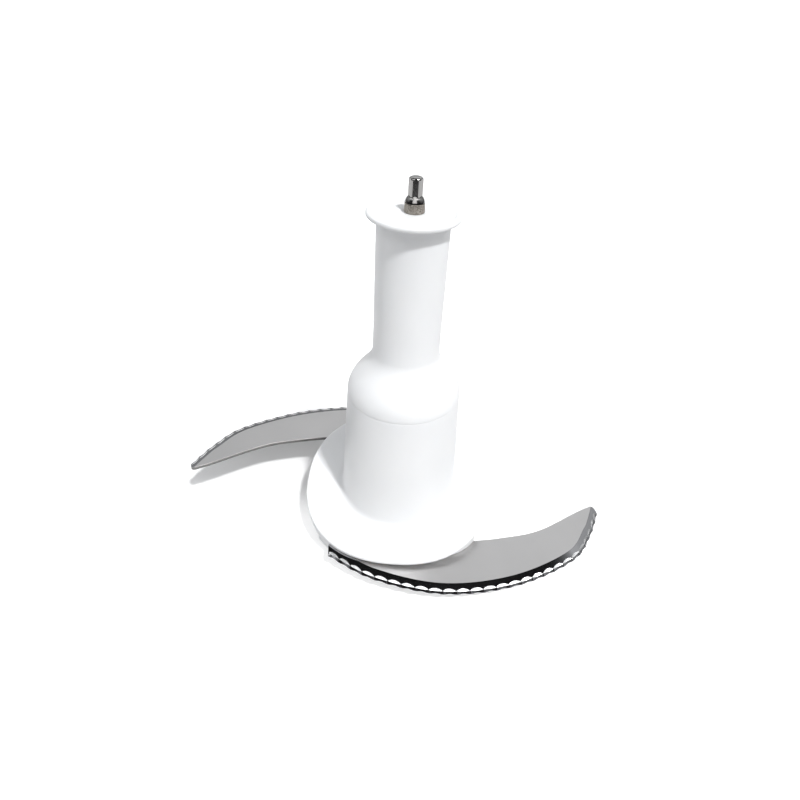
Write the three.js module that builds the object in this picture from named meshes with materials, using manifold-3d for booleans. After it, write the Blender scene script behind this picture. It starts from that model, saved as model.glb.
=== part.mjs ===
// Chopping knife of a food processor: a tall hollow hub that carries two serrated blades.
// A faceted spindle drives it from above, and a captive bush carries it on the bowl's pivot pin.
// Millimetres, +Z up, origin on the axis at the foot. The blade tips lie along +X and -X.
import * as THREE from 'three';
import { mergeVertices } from 'three/addons/utils/BufferGeometryUtils.js';
import Module from 'manifold-3d';

const wasm = await Module();
wasm.setup();

// Overall
const TOTAL_HEIGHT = 133.5;
const GAP = 0.3; // between pieces that touch
const AXIAL_PLAY = 0.15; // between small pieces stacked on the axis
const RUNNING_FIT = 0.05; // radial clearance of a turning piece
const BIG = 80; // longer than any cut needs to be
const FINE = 36; // sides of a large round piece
const COARSE = 24; // sides of a small round piece

// Brim: a rounded square plate, tilted because the two blades sit at different heights
const BRIM_Z = 15.5; // height of its top face on the axis
const BRIM_SLOPE = 0.158; // rise per millimetre of y
const BRIM_REACH = 36.2;
const BRIM_POWER = 2.29; // superellipse exponent, 2 is a circle
const BRIM_SIDES = 56;
const BRIM_THICKNESS = 1.6;
const BRIM_FILLET = 1.8;

// Blade carrier under the brim, with the foot that the knife stands on
const PLATE_REACH = 35.6;
const PLATE_THICKNESS = 3.2;
const SEAT_THICKNESS = 2; // material below each blade root
const SEAT_START = 21; // distance from the axis where the seats begin
const FOOT_R = 19;
const FOOT_BORE_R = 16.5;
const LEDGE_R = 13.5;
const LEDGE_Z = 6.2;
const LEDGE_THICKNESS = 1.5;

// Body of the hub: a slight cone, closed above by the neck moulding at a seam
const SEAM_Z = 60.2;
const BODY_R_AT_BRIM = 22.1;
const BODY_R_AT_SEAM = 19.9;
const BODY_WALL = 2.2;
const SPIGOT_DEPTH = 5.6;
const SPIGOT_WALL = 1.6;
const SHOULDER_TOP_Z = 77;
const SHOULDER_TOP_R = 11.4;
const NECK_R = 11.1;
const NECK_WALL = 1.8;
const NECK_TOP_Z = 122.05;

// Cap: the round disc on top of the neck
const DISC_R = 14.2;
const DISC_Z = 123.65; // top face inside the bead
const DISC_UNDERSIDE_Z = NECK_TOP_Z + GAP;
const BEAD_HEIGHT = 0.35;
const CAP_SPIGOT_Z = 111;
const WASHER_RECESS = 0.65; // depth of the recess for the collar's washer

// Blades
const BLADE_THICKNESS = 1.4;
const EDGE_LAND = 0.25; // thickness left at the cutting edge
const BEVEL_WIDTH = 3.9;
const LOWER_BLADE = { name: 'lower_blade', turn: 0, top: 7.2, slope: -0.036 };
const UPPER_BLADE = { name: 'upper_blade', turn: Math.PI, top: 17.7, slope: 0.002 };
const BLADES = [LOWER_BLADE, UPPER_BLADE];
const BLADE_PINS = [new THREE.Vector2(-9, -30), new THREE.Vector2(13, -30.5)];
const PIN_R = 1.5;
const PIN_ABOVE = 1;
const PIN_BELOW = 1.2;

// Socket for the bowl's pivot pin, and the bush that runs on it
const PIVOT_PIN_R = 4;
const BUSH_BORE_R = 4.05;
const BUSH_R = 6;
const BUSH_FLANGE_R = 8.6;
const BUSH_FLANGE_Z = 2.4;
const BUSH_FLANGE_THICKNESS = 1;
const BUSH_MOUTH_Z = 1;
const BUSH_TOP_Z = 23.5;
const WASHER_THICKNESS = 0.5;
const SOCKET_TOP_Z = 48;
const CORE_Z = 4.2;
const CORE_FLANGE_R = 16.2;
const CORE_FLANGE_THICKNESS = 1.7;
const CORE_R = 8.5;
const CORE_WAIST_Z = 52;
const CORE_UPPER_R = 7;
const CORE_TOP_Z = 106;
const RIB_COUNT = 4;
const RIB_REACH = 15.3;
const RIB_THICKNESS = 1.6;
const COVER_BORE_R = 7;
const COVER_Z = 0.4;

// Drive: the spindle, its insert in the core, and the ring on the disc that it turns in
const SPINDLE_R = 2.2;
const SPINDLE_FOOT_Z = 86;
const INSERT_Z = 90;
const INSERT_HEIGHT = 15;
const INSERT_R = 4.9;
const GROOVE_Z = 108;
const GROOVE_HEIGHT = 1.1;
const GROOVE_DEPTH = 0.5;
const CONE_Z = 126.6;
const CONE_R = 2.95;
const CONE_HEIGHT = 1.6;
const TIP_R = 2.25;
const TIP_SIDES = 6;
const TIP_CHAMFER = 0.5;
const COLLAR_TOP_R = 2.95;
const COLLAR_FOOT_R = 3.1;
const COLLAR_WASHER_R = 3.6;
const SEAL_R = 5.3;
const SEAL_HEIGHT = 2.8;

const finish = (color, roughness, metalness) =>
  new THREE.MeshStandardMaterial({ color, roughness, metalness });
const whitePlastic = () => finish(0xeeefee, 0.32, 0);
const greyPlastic = () => finish(0xb9bcbc, 0.5, 0);
const satinSteel = () => finish(0xb4b5b3, 0.28, 1);
const polishedSteel = () => finish(0xc9cacb, 0.12, 1);
const sinteredMetal = () => finish(0x9b948a, 0.65, 0.8);
const rubber = () => finish(0x5c5e60, 0.8, 0);

// ---- Solids ----

const v2 = (x, y) => new THREE.Vector2(x, y);

/** Six times the signed volume of an indexed mesh: negative when its faces point inwards. */
function signedVolume(positions, triangles) {
  const at = (i) => new THREE.Vector3().fromArray(positions, 3 * i);
  let total = 0;
  for (let i = 0; i < triangles.length; i += 3) {
    total += at(triangles[i]).dot(at(triangles[i + 1]).cross(at(triangles[i + 2])));
  }
  return total;
}

/** Turns a closed three.js geometry into a solid with its faces pointing out. */
function solid(geometry) {
  const bare = geometry.clone();
  bare.deleteAttribute('normal');
  bare.deleteAttribute('uv');
  const merged = mergeVertices(bare, 1e-4);
  const positions = new Float32Array(merged.attributes.position.array);
  const index = merged.index.array;
  const triangles = [];
  for (let i = 0; i < index.length; i += 3) {
    const [a, b, c] = [index[i], index[i + 1], index[i + 2]];
    if (a !== b && b !== c && c !== a) triangles.push(a, b, c);
  }
  if (signedVolume(positions, triangles) < 0) triangles.reverse();
  return new wasm.Manifold(new wasm.Mesh({
    numProp: 3,
    vertProperties: positions,
    triVerts: new Uint32Array(triangles),
  }));
}

/** A named mesh made from a solid. */
function meshOf(name, body, material) {
  const { vertProperties, triVerts } = body.getMesh();
  const geometry = new THREE.BufferGeometry();
  geometry.setAttribute('position', new THREE.BufferAttribute(new Float32Array(vertProperties), 3));
  geometry.setIndex(new THREE.BufferAttribute(new Uint32Array(triVerts), 1));
  geometry.computeVertexNormals();
  const mesh = new THREE.Mesh(geometry, material);
  mesh.name = name;
  return mesh;
}

/** Turns a closed (radius, height) profile about the Z axis. */
function turned(profile, sides = FINE) {
  const closing = profile[0].x === 0 ? [] : [profile[0]];
  return solid(new THREE.LatheGeometry([...profile, ...closing], sides).rotateX(Math.PI / 2));
}

/** A plain ring, or a disc when the inner radius is zero. */
function ring(innerR, outerR, bottom, top, sides = FINE) {
  return turned([v2(innerR, bottom), v2(outerR, bottom), v2(outerR, top), v2(innerR, top)], sides);
}

/** A round bar along Z at a point in plan. */
function bar(radius, bottom, top, centre = v2(0, 0), sides = COARSE) {
  const cylinder = new THREE.CylinderGeometry(radius, radius, top - bottom, sides);
  return solid(cylinder.rotateX(Math.PI / 2).translate(centre.x, centre.y, (bottom + top) / 2));
}

/** A geometry leaned over without turning: z rises by slopeX per x and slopeY per y. */
const leaned = (geometry, slopeX, slopeY) =>
  geometry.applyMatrix4(new THREE.Matrix4().makeShear(0, slopeX, 0, slopeY, 0, 0));

/** An outline in plan, extruded from bottom to top, then leaned. */
function prism(outline, bottom, top, slopeX = 0, slopeY = 0) {
  const settings = { depth: top - bottom, bevelEnabled: false };
  const geometry = new THREE.ExtrudeGeometry(new THREE.Shape(outline), settings);
  return solid(leaned(geometry.translate(0, 0, bottom), slopeX, slopeY));
}

// ---- Hub ----

const bodyRadius = (z) =>
  BODY_R_AT_SEAM + (BODY_R_AT_BRIM - BODY_R_AT_SEAM) * (SEAM_Z - z) / (SEAM_Z - BRIM_Z);

/** Rounded square in plan: |x|^n + |y|^n = reach^n. */
function roundedSquare(reach) {
  const power = 2 / BRIM_POWER;
  return Array.from({ length: BRIM_SIDES }, (_, i) => {
    const angle = 2 * Math.PI * i / BRIM_SIDES;
    const [c, s] = [Math.cos(angle), Math.sin(angle)];
    return v2(reach * Math.sign(c) * Math.abs(c) ** power, reach * Math.sign(s) * Math.abs(s) ** power);
  });
}

/** A slab of the rounded square that follows the brim's tilt. */
const tiltedSlab = (reach, bottom, top) => prism(roundedSquare(reach), bottom, top, 0, BRIM_SLOPE);

const BRIM_UNDERSIDE = BRIM_Z - BRIM_THICKNESS;
const PLATE_TOP = BRIM_UNDERSIDE - GAP;

/** The concave fillet where the body meets the brim, leaned with the brim. */
function brimFillet() {
  const root = BODY_R_AT_BRIM + BRIM_FILLET;
  const arc = Array.from({ length: 6 }, (_, i) => {
    const angle = i * Math.PI / 10;
    return v2(root - BRIM_FILLET * Math.sin(angle), BRIM_Z + BRIM_FILLET * (1 - Math.cos(angle)));
  });
  const inside = BODY_R_AT_BRIM - BODY_WALL / 2;
  const profile = [
    v2(inside, BRIM_UNDERSIDE),
    v2(root, BRIM_UNDERSIDE),
    ...arc,
    v2(inside, BRIM_Z + BRIM_FILLET),
  ];
  const lathe = new THREE.LatheGeometry([...profile, profile[0]], FINE).rotateX(Math.PI / 2);
  return solid(leaned(lathe, 0, BRIM_SLOPE));
}

/** Lower moulding: the cone, the tilted brim, and pads that press on the blade roots. */
function hubSkirt() {
  const cone = turned([v2(0, 0), v2(bodyRadius(0), 0), v2(BODY_R_AT_SEAM, SEAM_Z), v2(0, SEAM_Z)]);
  const hollow = turned([
    v2(0, -1),
    v2(bodyRadius(-1) - BODY_WALL, -1),
    v2(bodyRadius(SEAM_Z + 1) - BODY_WALL, SEAM_Z + 1),
    v2(0, SEAM_Z + 1),
  ]);
  let skirt = cone.intersect(tiltedSlab(BRIM_REACH, BRIM_UNDERSIDE, BIG));
  skirt = skirt.add(tiltedSlab(BRIM_REACH, BRIM_UNDERSIDE, BRIM_Z)).add(brimFillet());
  for (const blade of BLADES) {
    skirt = skirt.add(rootPad(blade)).subtract(bladeSlab(blade, GAP, GAP, GAP));
  }
  for (const blade of BLADES) {
    skirt = skirt.subtract(pinBores(blade));
  }
  return skirt.subtract(hollow);
}

/** Upper moulding: a spigot inside the skirt, the rounded shoulder and the neck. */
function neckShell() {
  const spigotR = BODY_R_AT_SEAM - BODY_WALL - GAP;
  const foot = SEAM_Z + GAP;
  const shoulder = new THREE.CubicBezierCurve(
    v2(BODY_R_AT_SEAM, foot),
    v2(BODY_R_AT_SEAM + 0.1, foot + 8),
    v2(SHOULDER_TOP_R + 0.8, SHOULDER_TOP_Z - 5.7),
    v2(SHOULDER_TOP_R, SHOULDER_TOP_Z),
  ).getPoints(11);
  const inner = shoulder.map((point) => v2(point.x - BODY_WALL, point.y - 1)).slice(2).reverse();
  return turned([
    v2(spigotR - SPIGOT_WALL, foot - SPIGOT_DEPTH),
    v2(spigotR, foot - SPIGOT_DEPTH),
    v2(spigotR, foot),
    ...shoulder,
    v2(NECK_R, NECK_TOP_Z),
    v2(NECK_R - NECK_WALL, NECK_TOP_Z),
    v2(NECK_R - NECK_WALL, SHOULDER_TOP_Z + 1),
    ...inner,
    v2(spigotR - SPIGOT_WALL, foot + 1),
  ]);
}

/** Cap: a disc with a raised bead round its edge, on a spigot that fills the neck. */
function neckCap() {
  const spigotR = NECK_R - NECK_WALL - GAP;
  const bore = SPINDLE_R + GAP;
  const sealSeat = CAP_SPIGOT_Z + SEAL_HEIGHT + 3 * GAP;
  const beadR = (DISC_Z + BEAD_HEIGHT - DISC_UNDERSIDE_Z) / 2;
  const bead = Array.from({ length: 9 }, (_, i) => {
    const angle = -Math.PI / 2 + i * Math.PI / 8;
    const outward = DISC_R - beadR + beadR * Math.cos(angle);
    return v2(outward, DISC_UNDERSIDE_Z + beadR + beadR * Math.sin(angle));
  });
  return turned([
    v2(bore, sealSeat),
    v2(SEAL_R + GAP, sealSeat),
    v2(SEAL_R + GAP, CAP_SPIGOT_Z),
    v2(spigotR, CAP_SPIGOT_Z),
    v2(spigotR, DISC_UNDERSIDE_Z),
    ...bead,
    v2(DISC_R - 3 * beadR, DISC_Z),
    v2(COLLAR_WASHER_R + GAP, DISC_Z),
    v2(COLLAR_WASHER_R + GAP, DISC_Z - WASHER_RECESS),
    v2(bore, DISC_Z - WASHER_RECESS),
  ]);
}

/** Plate under the brim that the blades lie in, with the foot ring and the core's ledge. */
function bladeCarrier() {
  const belowBrim = tiltedSlab(BIG, PLATE_TOP - BIG, PLATE_TOP);
  const foot = ring(FOOT_BORE_R, FOOT_R, 0, SEAM_Z).intersect(belowBrim);
  const ledge = ring(LEDGE_R, FOOT_BORE_R + 1, LEDGE_Z, LEDGE_Z + LEDGE_THICKNESS);
  const plate = tiltedSlab(PLATE_REACH, PLATE_TOP - PLATE_THICKNESS, PLATE_TOP);
  let carrier = plate.subtract(bar(FOOT_BORE_R, -1, BIG, v2(0, 0), FINE)).add(foot).add(ledge);
  for (const blade of BLADES) {
    carrier = carrier.add(bladeSeat(blade).intersect(belowBrim));
  }
  for (const blade of BLADES) {
    carrier = carrier.subtract(bladeSlab(blade, GAP, GAP, BIG)).subtract(pinBores(blade));
  }
  return carrier;
}

// ---- Blades ----

/** Plan of a blade: the cutting edge from heel to tip, then the back and the root inside the hub. */
const CUTTING_EDGE = new THREE.SplineCurve([
  v2(-23.5, -33.3),
  v2(-6, -41.6),
  v2(19.4, -44.9),
  v2(46, -38.4),
  v2(69, -24.6),
  v2(78.4, -11.3),
  v2(83.6, 0.8),
]).getSpacedPoints(26);
const BLADE_BACK = new THREE.SplineCurve([
  v2(81.4, 4),
  v2(76, 0.7),
  v2(57, -12.3),
  v2(40.8, -18.1),
  v2(29.5, -20.8),
]).getSpacedPoints(12);
const BLADE_ROOT = [v2(22, -25.5), v2(-17, -25.5), v2(-23.9, -28.7)];
const BLADE_OUTLINE = [...CUTTING_EDGE, ...BLADE_BACK, ...BLADE_ROOT];

/** Unit normal of a closed outline at one of its points, pointing out of a counter-clockwise loop. */
function outwardNormal(outline, i) {
  const before = outline[(i + outline.length - 1) % outline.length];
  const after = outline[(i + 1) % outline.length];
  return v2(after.y - before.y, before.x - after.x).normalize();
}

/** The outline moved out by a distance, or in when it is negative. */
const offset = (outline, distance) =>
  outline.map((point, i) => point.clone().addScaledVector(outwardNormal(outline, i), distance));

const turnedBy = (body, blade) => body.rotate([0, 0, THREE.MathUtils.radToDeg(blade.turn)]);

/** A slab of the blade's own outline, grown sideways and reaching past both of its faces. */
function bladeSlab(blade, grow, below, above) {
  const outline = offset(BLADE_OUTLINE, grow);
  const foot = blade.top - BLADE_THICKNESS - below;
  return turnedBy(prism(outline, foot, blade.top + above, blade.slope), blade);
}

/** Pad of the skirt that fills the carrier's pocket above the blade root. */
function rootPad(blade) {
  const above = prism(offset(BLADE_OUTLINE, -GAP), blade.top + GAP, BIG, blade.slope);
  return turnedBy(above, blade).intersect(tiltedSlab(PLATE_REACH, -BIG, BRIM_Z - BRIM_THICKNESS / 2));
}

/** Block of the carrier under and beside a blade root. */
function bladeSeat(blade) {
  const width = BRIM_REACH - SEAT_START;
  const bottom = blade.top - BLADE_THICKNESS - GAP - SEAT_THICKNESS;
  const box = new THREE.BoxGeometry(2 * BRIM_REACH, width, BIG);
  box.translate(0, -SEAT_START - width / 2, bottom + BIG / 2);
  const seat = turnedBy(solid(leaned(box, blade.slope, 0)), blade);
  return seat.intersect(tiltedSlab(PLATE_REACH, -BIG, PLATE_TOP));
}

/** Height of a blade's top face at a place in its own plan. */
const bladeTop = (blade, place) => blade.top + blade.slope * place.x;

/** The pin through one blade at one place. */
function bladePin(blade, place, clearance = 0) {
  const top = bladeTop(blade, place) + PIN_ABOVE + clearance;
  const bottom = bladeTop(blade, place) - BLADE_THICKNESS - PIN_BELOW - clearance;
  return turnedBy(bar(PIN_R + clearance, bottom, top, place), blade);
}

/** Clearance holes for the pins of one blade. */
const pinBores = (blade) =>
  BLADE_PINS.map((place) => bladePin(blade, place, GAP)).reduce((all, bore) => all.add(bore));

/** A flat blade with a bevel ground along its cutting edge. */
function bladePlate(blade) {
  const count = BLADE_OUTLINE.length;
  const inset = offset(BLADE_OUTLINE, -BEVEL_WIDTH);
  const topFace = BLADE_OUTLINE.map((point, i) => (i < CUTTING_EDGE.length ? inset[i] : point));
  const layers = [[BLADE_OUTLINE, 0], [BLADE_OUTLINE, EDGE_LAND], [topFace, BLADE_THICKNESS]];
  const positions = layers.flatMap(([outline, z]) => outline.flatMap((point) => [point.x, point.y, z]));
  const triangles = [];
  for (const [a, b, c] of THREE.ShapeUtils.triangulateShape(BLADE_OUTLINE, [])) triangles.push(c, b, a);
  for (const face of THREE.ShapeUtils.triangulateShape(topFace, [])) {
    triangles.push(...face.map((corner) => corner + 2 * count));
  }
  for (let layer = 0; layer < 2; layer += 1) {
    for (let i = 0; i < count; i += 1) {
      const [a, b] = [layer * count + i, layer * count + (i + 1) % count];
      triangles.push(a, b, b + count, a, b + count, a + count);
    }
  }
  const geometry = new THREE.BufferGeometry();
  geometry.setAttribute('position', new THREE.Float32BufferAttribute(positions, 3));
  geometry.setIndex(triangles);
  geometry.translate(0, 0, blade.top - BLADE_THICKNESS);
  return turnedBy(solid(leaned(geometry, blade.slope, 0)), blade).subtract(pinBores(blade));
}

// ---- Socket and pivot ----

/** Core on the axis: flange in the foot, ribs, socket for the bowl's pin, pocket for the insert. */
function socketCore() {
  const runBore = BUSH_R + RUNNING_FIT;
  const pinBore = PIVOT_PIN_R + 2 * GAP;
  const tube = turned([
    v2(runBore, CORE_Z),
    v2(CORE_FLANGE_R, CORE_Z),
    v2(CORE_FLANGE_R, CORE_Z + CORE_FLANGE_THICKNESS),
    v2(CORE_R, CORE_Z + CORE_FLANGE_THICKNESS),
    v2(CORE_R, CORE_WAIST_Z),
    v2(CORE_UPPER_R, CORE_WAIST_Z + 2),
    v2(CORE_UPPER_R, CORE_TOP_Z),
    v2(INSERT_R + GAP, CORE_TOP_Z),
    v2(INSERT_R + GAP, INSERT_Z - GAP),
    v2(SPINDLE_R + GAP, INSERT_Z - GAP),
    v2(SPINDLE_R + GAP, SOCKET_TOP_Z + 2),
    v2(pinBore, SOCKET_TOP_Z),
    v2(pinBore, BUSH_TOP_Z + 1),
    v2(runBore, BUSH_TOP_Z + 1),
  ]);
  let core = tube.add(bar(SPINDLE_R + 1, SOCKET_TOP_Z, SPINDLE_FOOT_Z - GAP));
  const ribBottom = LEDGE_Z + LEDGE_THICKNESS + GAP;
  const ribTop = SEAM_Z - SPIGOT_DEPTH - GAP;
  for (let i = 0; i < RIB_COUNT; i += 1) {
    const rib = new THREE.BoxGeometry(RIB_REACH - CORE_R + 1, RIB_THICKNESS, ribTop - ribBottom);
    rib.translate((RIB_REACH + CORE_R - 1) / 2, 0, (ribTop + ribBottom) / 2);
    core = core.add(solid(rib.rotateZ((i + 0.5) * 2 * Math.PI / RIB_COUNT)));
  }
  return core;
}

/** Flanged bush, mouth down, that stays still on the bowl's pin while the hub turns round it. */
const pivotBush = () => turned([
  v2(BUSH_BORE_R, BUSH_MOUTH_Z),
  v2(BUSH_R, BUSH_MOUTH_Z),
  v2(BUSH_R, BUSH_FLANGE_Z),
  v2(BUSH_FLANGE_R, BUSH_FLANGE_Z),
  v2(BUSH_FLANGE_R, BUSH_FLANGE_Z + BUSH_FLANGE_THICKNESS),
  v2(BUSH_R, BUSH_FLANGE_Z + BUSH_FLANGE_THICKNESS),
  v2(BUSH_R, BUSH_TOP_Z),
  v2(BUSH_BORE_R, BUSH_TOP_Z),
]);

/** Washer on either side of the bush's flange. */
function thrustWasher(side) {
  const above = BUSH_FLANGE_Z + BUSH_FLANGE_THICKNESS + AXIAL_PLAY;
  const below = BUSH_FLANGE_Z - AXIAL_PLAY - WASHER_THICKNESS;
  const bottom = side === 'upper' ? above : below;
  return ring(BUSH_R + AXIAL_PLAY, BUSH_FLANGE_R, bottom, bottom + WASHER_THICKNESS);
}

/** Cover that closes the foot and traps the bush. */
function bottomCover() {
  const thin = BUSH_FLANGE_Z - 2 * AXIAL_PLAY - WASHER_THICKNESS;
  return turned([
    v2(COVER_BORE_R, COVER_Z),
    v2(FOOT_BORE_R - GAP, COVER_Z),
    v2(FOOT_BORE_R - GAP, BUSH_FLANGE_Z),
    v2(BUSH_FLANGE_R + 2, BUSH_FLANGE_Z),
    v2(BUSH_FLANGE_R + 2, thin),
    v2(COVER_BORE_R, thin),
  ]);
}

/** Rubber ring between the cover and the core's flange. */
const footSeal = () => ring(BUSH_FLANGE_R + 5, FOOT_BORE_R - GAP, BUSH_FLANGE_Z + GAP, CORE_Z - GAP);

// ---- Drive ----

/** Steel spindle: a round stem with a clip groove, a cone, and a faceted driving tip. */
function spindle() {
  const coneTop = CONE_Z + CONE_HEIGHT;
  const stem = turned([
    v2(0, SPINDLE_FOOT_Z),
    v2(SPINDLE_R, SPINDLE_FOOT_Z),
    v2(SPINDLE_R, GROOVE_Z),
    v2(SPINDLE_R - GROOVE_DEPTH, GROOVE_Z),
    v2(SPINDLE_R - GROOVE_DEPTH, GROOVE_Z + GROOVE_HEIGHT),
    v2(SPINDLE_R, GROOVE_Z + GROOVE_HEIGHT),
    v2(SPINDLE_R, CONE_Z),
    v2(CONE_R, CONE_Z),
    v2(SPINDLE_R, coneTop),
    v2(0, coneTop),
  ], COARSE);
  const tip = turned([
    v2(0, coneTop - 1),
    v2(TIP_R, coneTop - 1),
    v2(TIP_R, TOTAL_HEIGHT - TIP_CHAMFER),
    v2(TIP_R - TIP_CHAMFER, TOTAL_HEIGHT),
    v2(0, TOTAL_HEIGHT),
  ], TIP_SIDES);
  return stem.add(tip);
}

/** Hexagonal steel insert that locks the spindle into the core. */
function driveInsert() {
  const hexagon = bar(INSERT_R, INSERT_Z, INSERT_Z + INSERT_HEIGHT, v2(0, 0), TIP_SIDES);
  return hexagon.subtract(bar(SPINDLE_R + GAP, INSERT_Z - 1, CORE_TOP_Z));
}

/** Open clip in the spindle's groove. */
function spindleClip() {
  const bottom = GROOVE_Z + AXIAL_PLAY;
  const top = GROOVE_Z + GROOVE_HEIGHT - AXIAL_PLAY;
  const mouth = new THREE.BoxGeometry(2 * INSERT_R, SPINDLE_R, BIG).translate(INSERT_R, 0, bottom);
  return ring(SPINDLE_R - AXIAL_PLAY, INSERT_R, bottom, top, COARSE).subtract(solid(mouth));
}

const spindleSeal = () =>
  ring(SPINDLE_R + AXIAL_PLAY, SEAL_R, CAP_SPIGOT_Z + GAP, CAP_SPIGOT_Z + GAP + SEAL_HEIGHT, COARSE);

/** Washer let into the disc, flush with its top face, that the collar runs on. */
const collarWasher = () =>
  ring(SPINDLE_R + AXIAL_PLAY, COLLAR_WASHER_R, DISC_Z - WASHER_THICKNESS, DISC_Z, COARSE);

/** Loose ring that runs on the spindle between the washer and the cone, slightly flared at its foot. */
function bearingCollar() {
  const bottom = DISC_Z + AXIAL_PLAY;
  const top = CONE_Z - AXIAL_PLAY;
  return turned([
    v2(SPINDLE_R + RUNNING_FIT, bottom),
    v2(COLLAR_FOOT_R, bottom),
    v2(COLLAR_TOP_R, top),
    v2(SPINDLE_R + RUNNING_FIT, top),
  ], COARSE);
}

// ---- Assembly ----

const hub = new THREE.Group();
hub.add(meshOf('hub_skirt', hubSkirt(), whitePlastic()));
hub.add(meshOf('neck_shell', neckShell(), whitePlastic()));
hub.add(meshOf('neck_cap', neckCap(), whitePlastic()));
hub.add(meshOf('blade_carrier', bladeCarrier(), whitePlastic()));
hub.add(meshOf('bottom_cover', bottomCover(), whitePlastic()));
hub.add(meshOf('socket_core', socketCore(), greyPlastic()));
hub.add(meshOf('foot_seal', footSeal(), rubber()));

const blades = new THREE.Group();
for (const blade of BLADES) {
  blades.add(meshOf(blade.name, bladePlate(blade), satinSteel()));
  BLADE_PINS.forEach((place, i) => {
    blades.add(meshOf(`${blade.name}_pin_${i + 1}`, bladePin(blade, place), polishedSteel()));
  });
}

const pivot = new THREE.Group();
pivot.add(meshOf('pivot_bush', pivotBush(), sinteredMetal()));
for (const side of ['upper', 'lower']) {
  pivot.add(meshOf(`thrust_washer_${side}`, thrustWasher(side), greyPlastic()));
}

const drive = new THREE.Group();
drive.add(meshOf('spindle', spindle(), polishedSteel()));
drive.add(meshOf('drive_insert', driveInsert(), polishedSteel()));
drive.add(meshOf('spindle_clip', spindleClip(), polishedSteel()));
drive.add(meshOf('spindle_seal', spindleSeal(), rubber()));
drive.add(meshOf('collar_washer', collarWasher(), whitePlastic()));
drive.add(meshOf('bearing_collar', bearingCollar(), sinteredMetal()));

const knife = new THREE.Group();
knife.name = 'chopping_knife';
knife.add(hub, blades, pivot, drive);

export default knife;
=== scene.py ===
"""Looks of a food processor's chopping knife: white hub, serrated steel blades and a driven spindle.

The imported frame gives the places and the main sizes. Each sub-assembly is a class that works out its
surfaces on numpy grids, makes them into pieces, and dresses them in its finishes.
"""

import logging
import math
from dataclasses import dataclass, field, replace
from enum import Enum, IntEnum

import bmesh
import bpy
import numpy as np
from mathutils import Matrix, Vector


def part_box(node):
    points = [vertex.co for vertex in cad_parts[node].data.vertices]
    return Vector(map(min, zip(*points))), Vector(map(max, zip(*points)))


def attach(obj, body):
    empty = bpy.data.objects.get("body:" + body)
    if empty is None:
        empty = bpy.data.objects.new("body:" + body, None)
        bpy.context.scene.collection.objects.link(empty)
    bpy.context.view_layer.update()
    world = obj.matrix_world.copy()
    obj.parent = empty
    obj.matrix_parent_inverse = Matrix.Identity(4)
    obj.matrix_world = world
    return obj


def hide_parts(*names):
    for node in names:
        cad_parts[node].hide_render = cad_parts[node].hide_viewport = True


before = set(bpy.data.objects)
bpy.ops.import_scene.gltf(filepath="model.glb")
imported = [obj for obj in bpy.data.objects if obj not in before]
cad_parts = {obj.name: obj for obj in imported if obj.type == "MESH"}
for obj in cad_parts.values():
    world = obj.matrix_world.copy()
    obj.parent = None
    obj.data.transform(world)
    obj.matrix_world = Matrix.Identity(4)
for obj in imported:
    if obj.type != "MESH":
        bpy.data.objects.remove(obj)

LOG = logging.getLogger("chopping_knife")
MM = 0.001
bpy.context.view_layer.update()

Colour = tuple[float, float, float]
Pair = tuple[float, float]


class Body(Enum):
    """Rigid bodies of the frame that pieces ride on."""

    PIVOT = "pivot"
    ROTOR = "rotor"
    COLLAR = "collar"


class Slot(Enum):
    """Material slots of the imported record."""

    WHITE = "white_plastic"
    GREY = "grey_plastic"
    BLADE = "blade_steel"
    POLISHED = "polished_steel"
    SINTERED = "sintered_metal"
    RUBBER = "seal_rubber"


# ---------------------------------------------------------------------------
# Node trees, and the shader groups shared by several finishes
# ---------------------------------------------------------------------------


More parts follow.
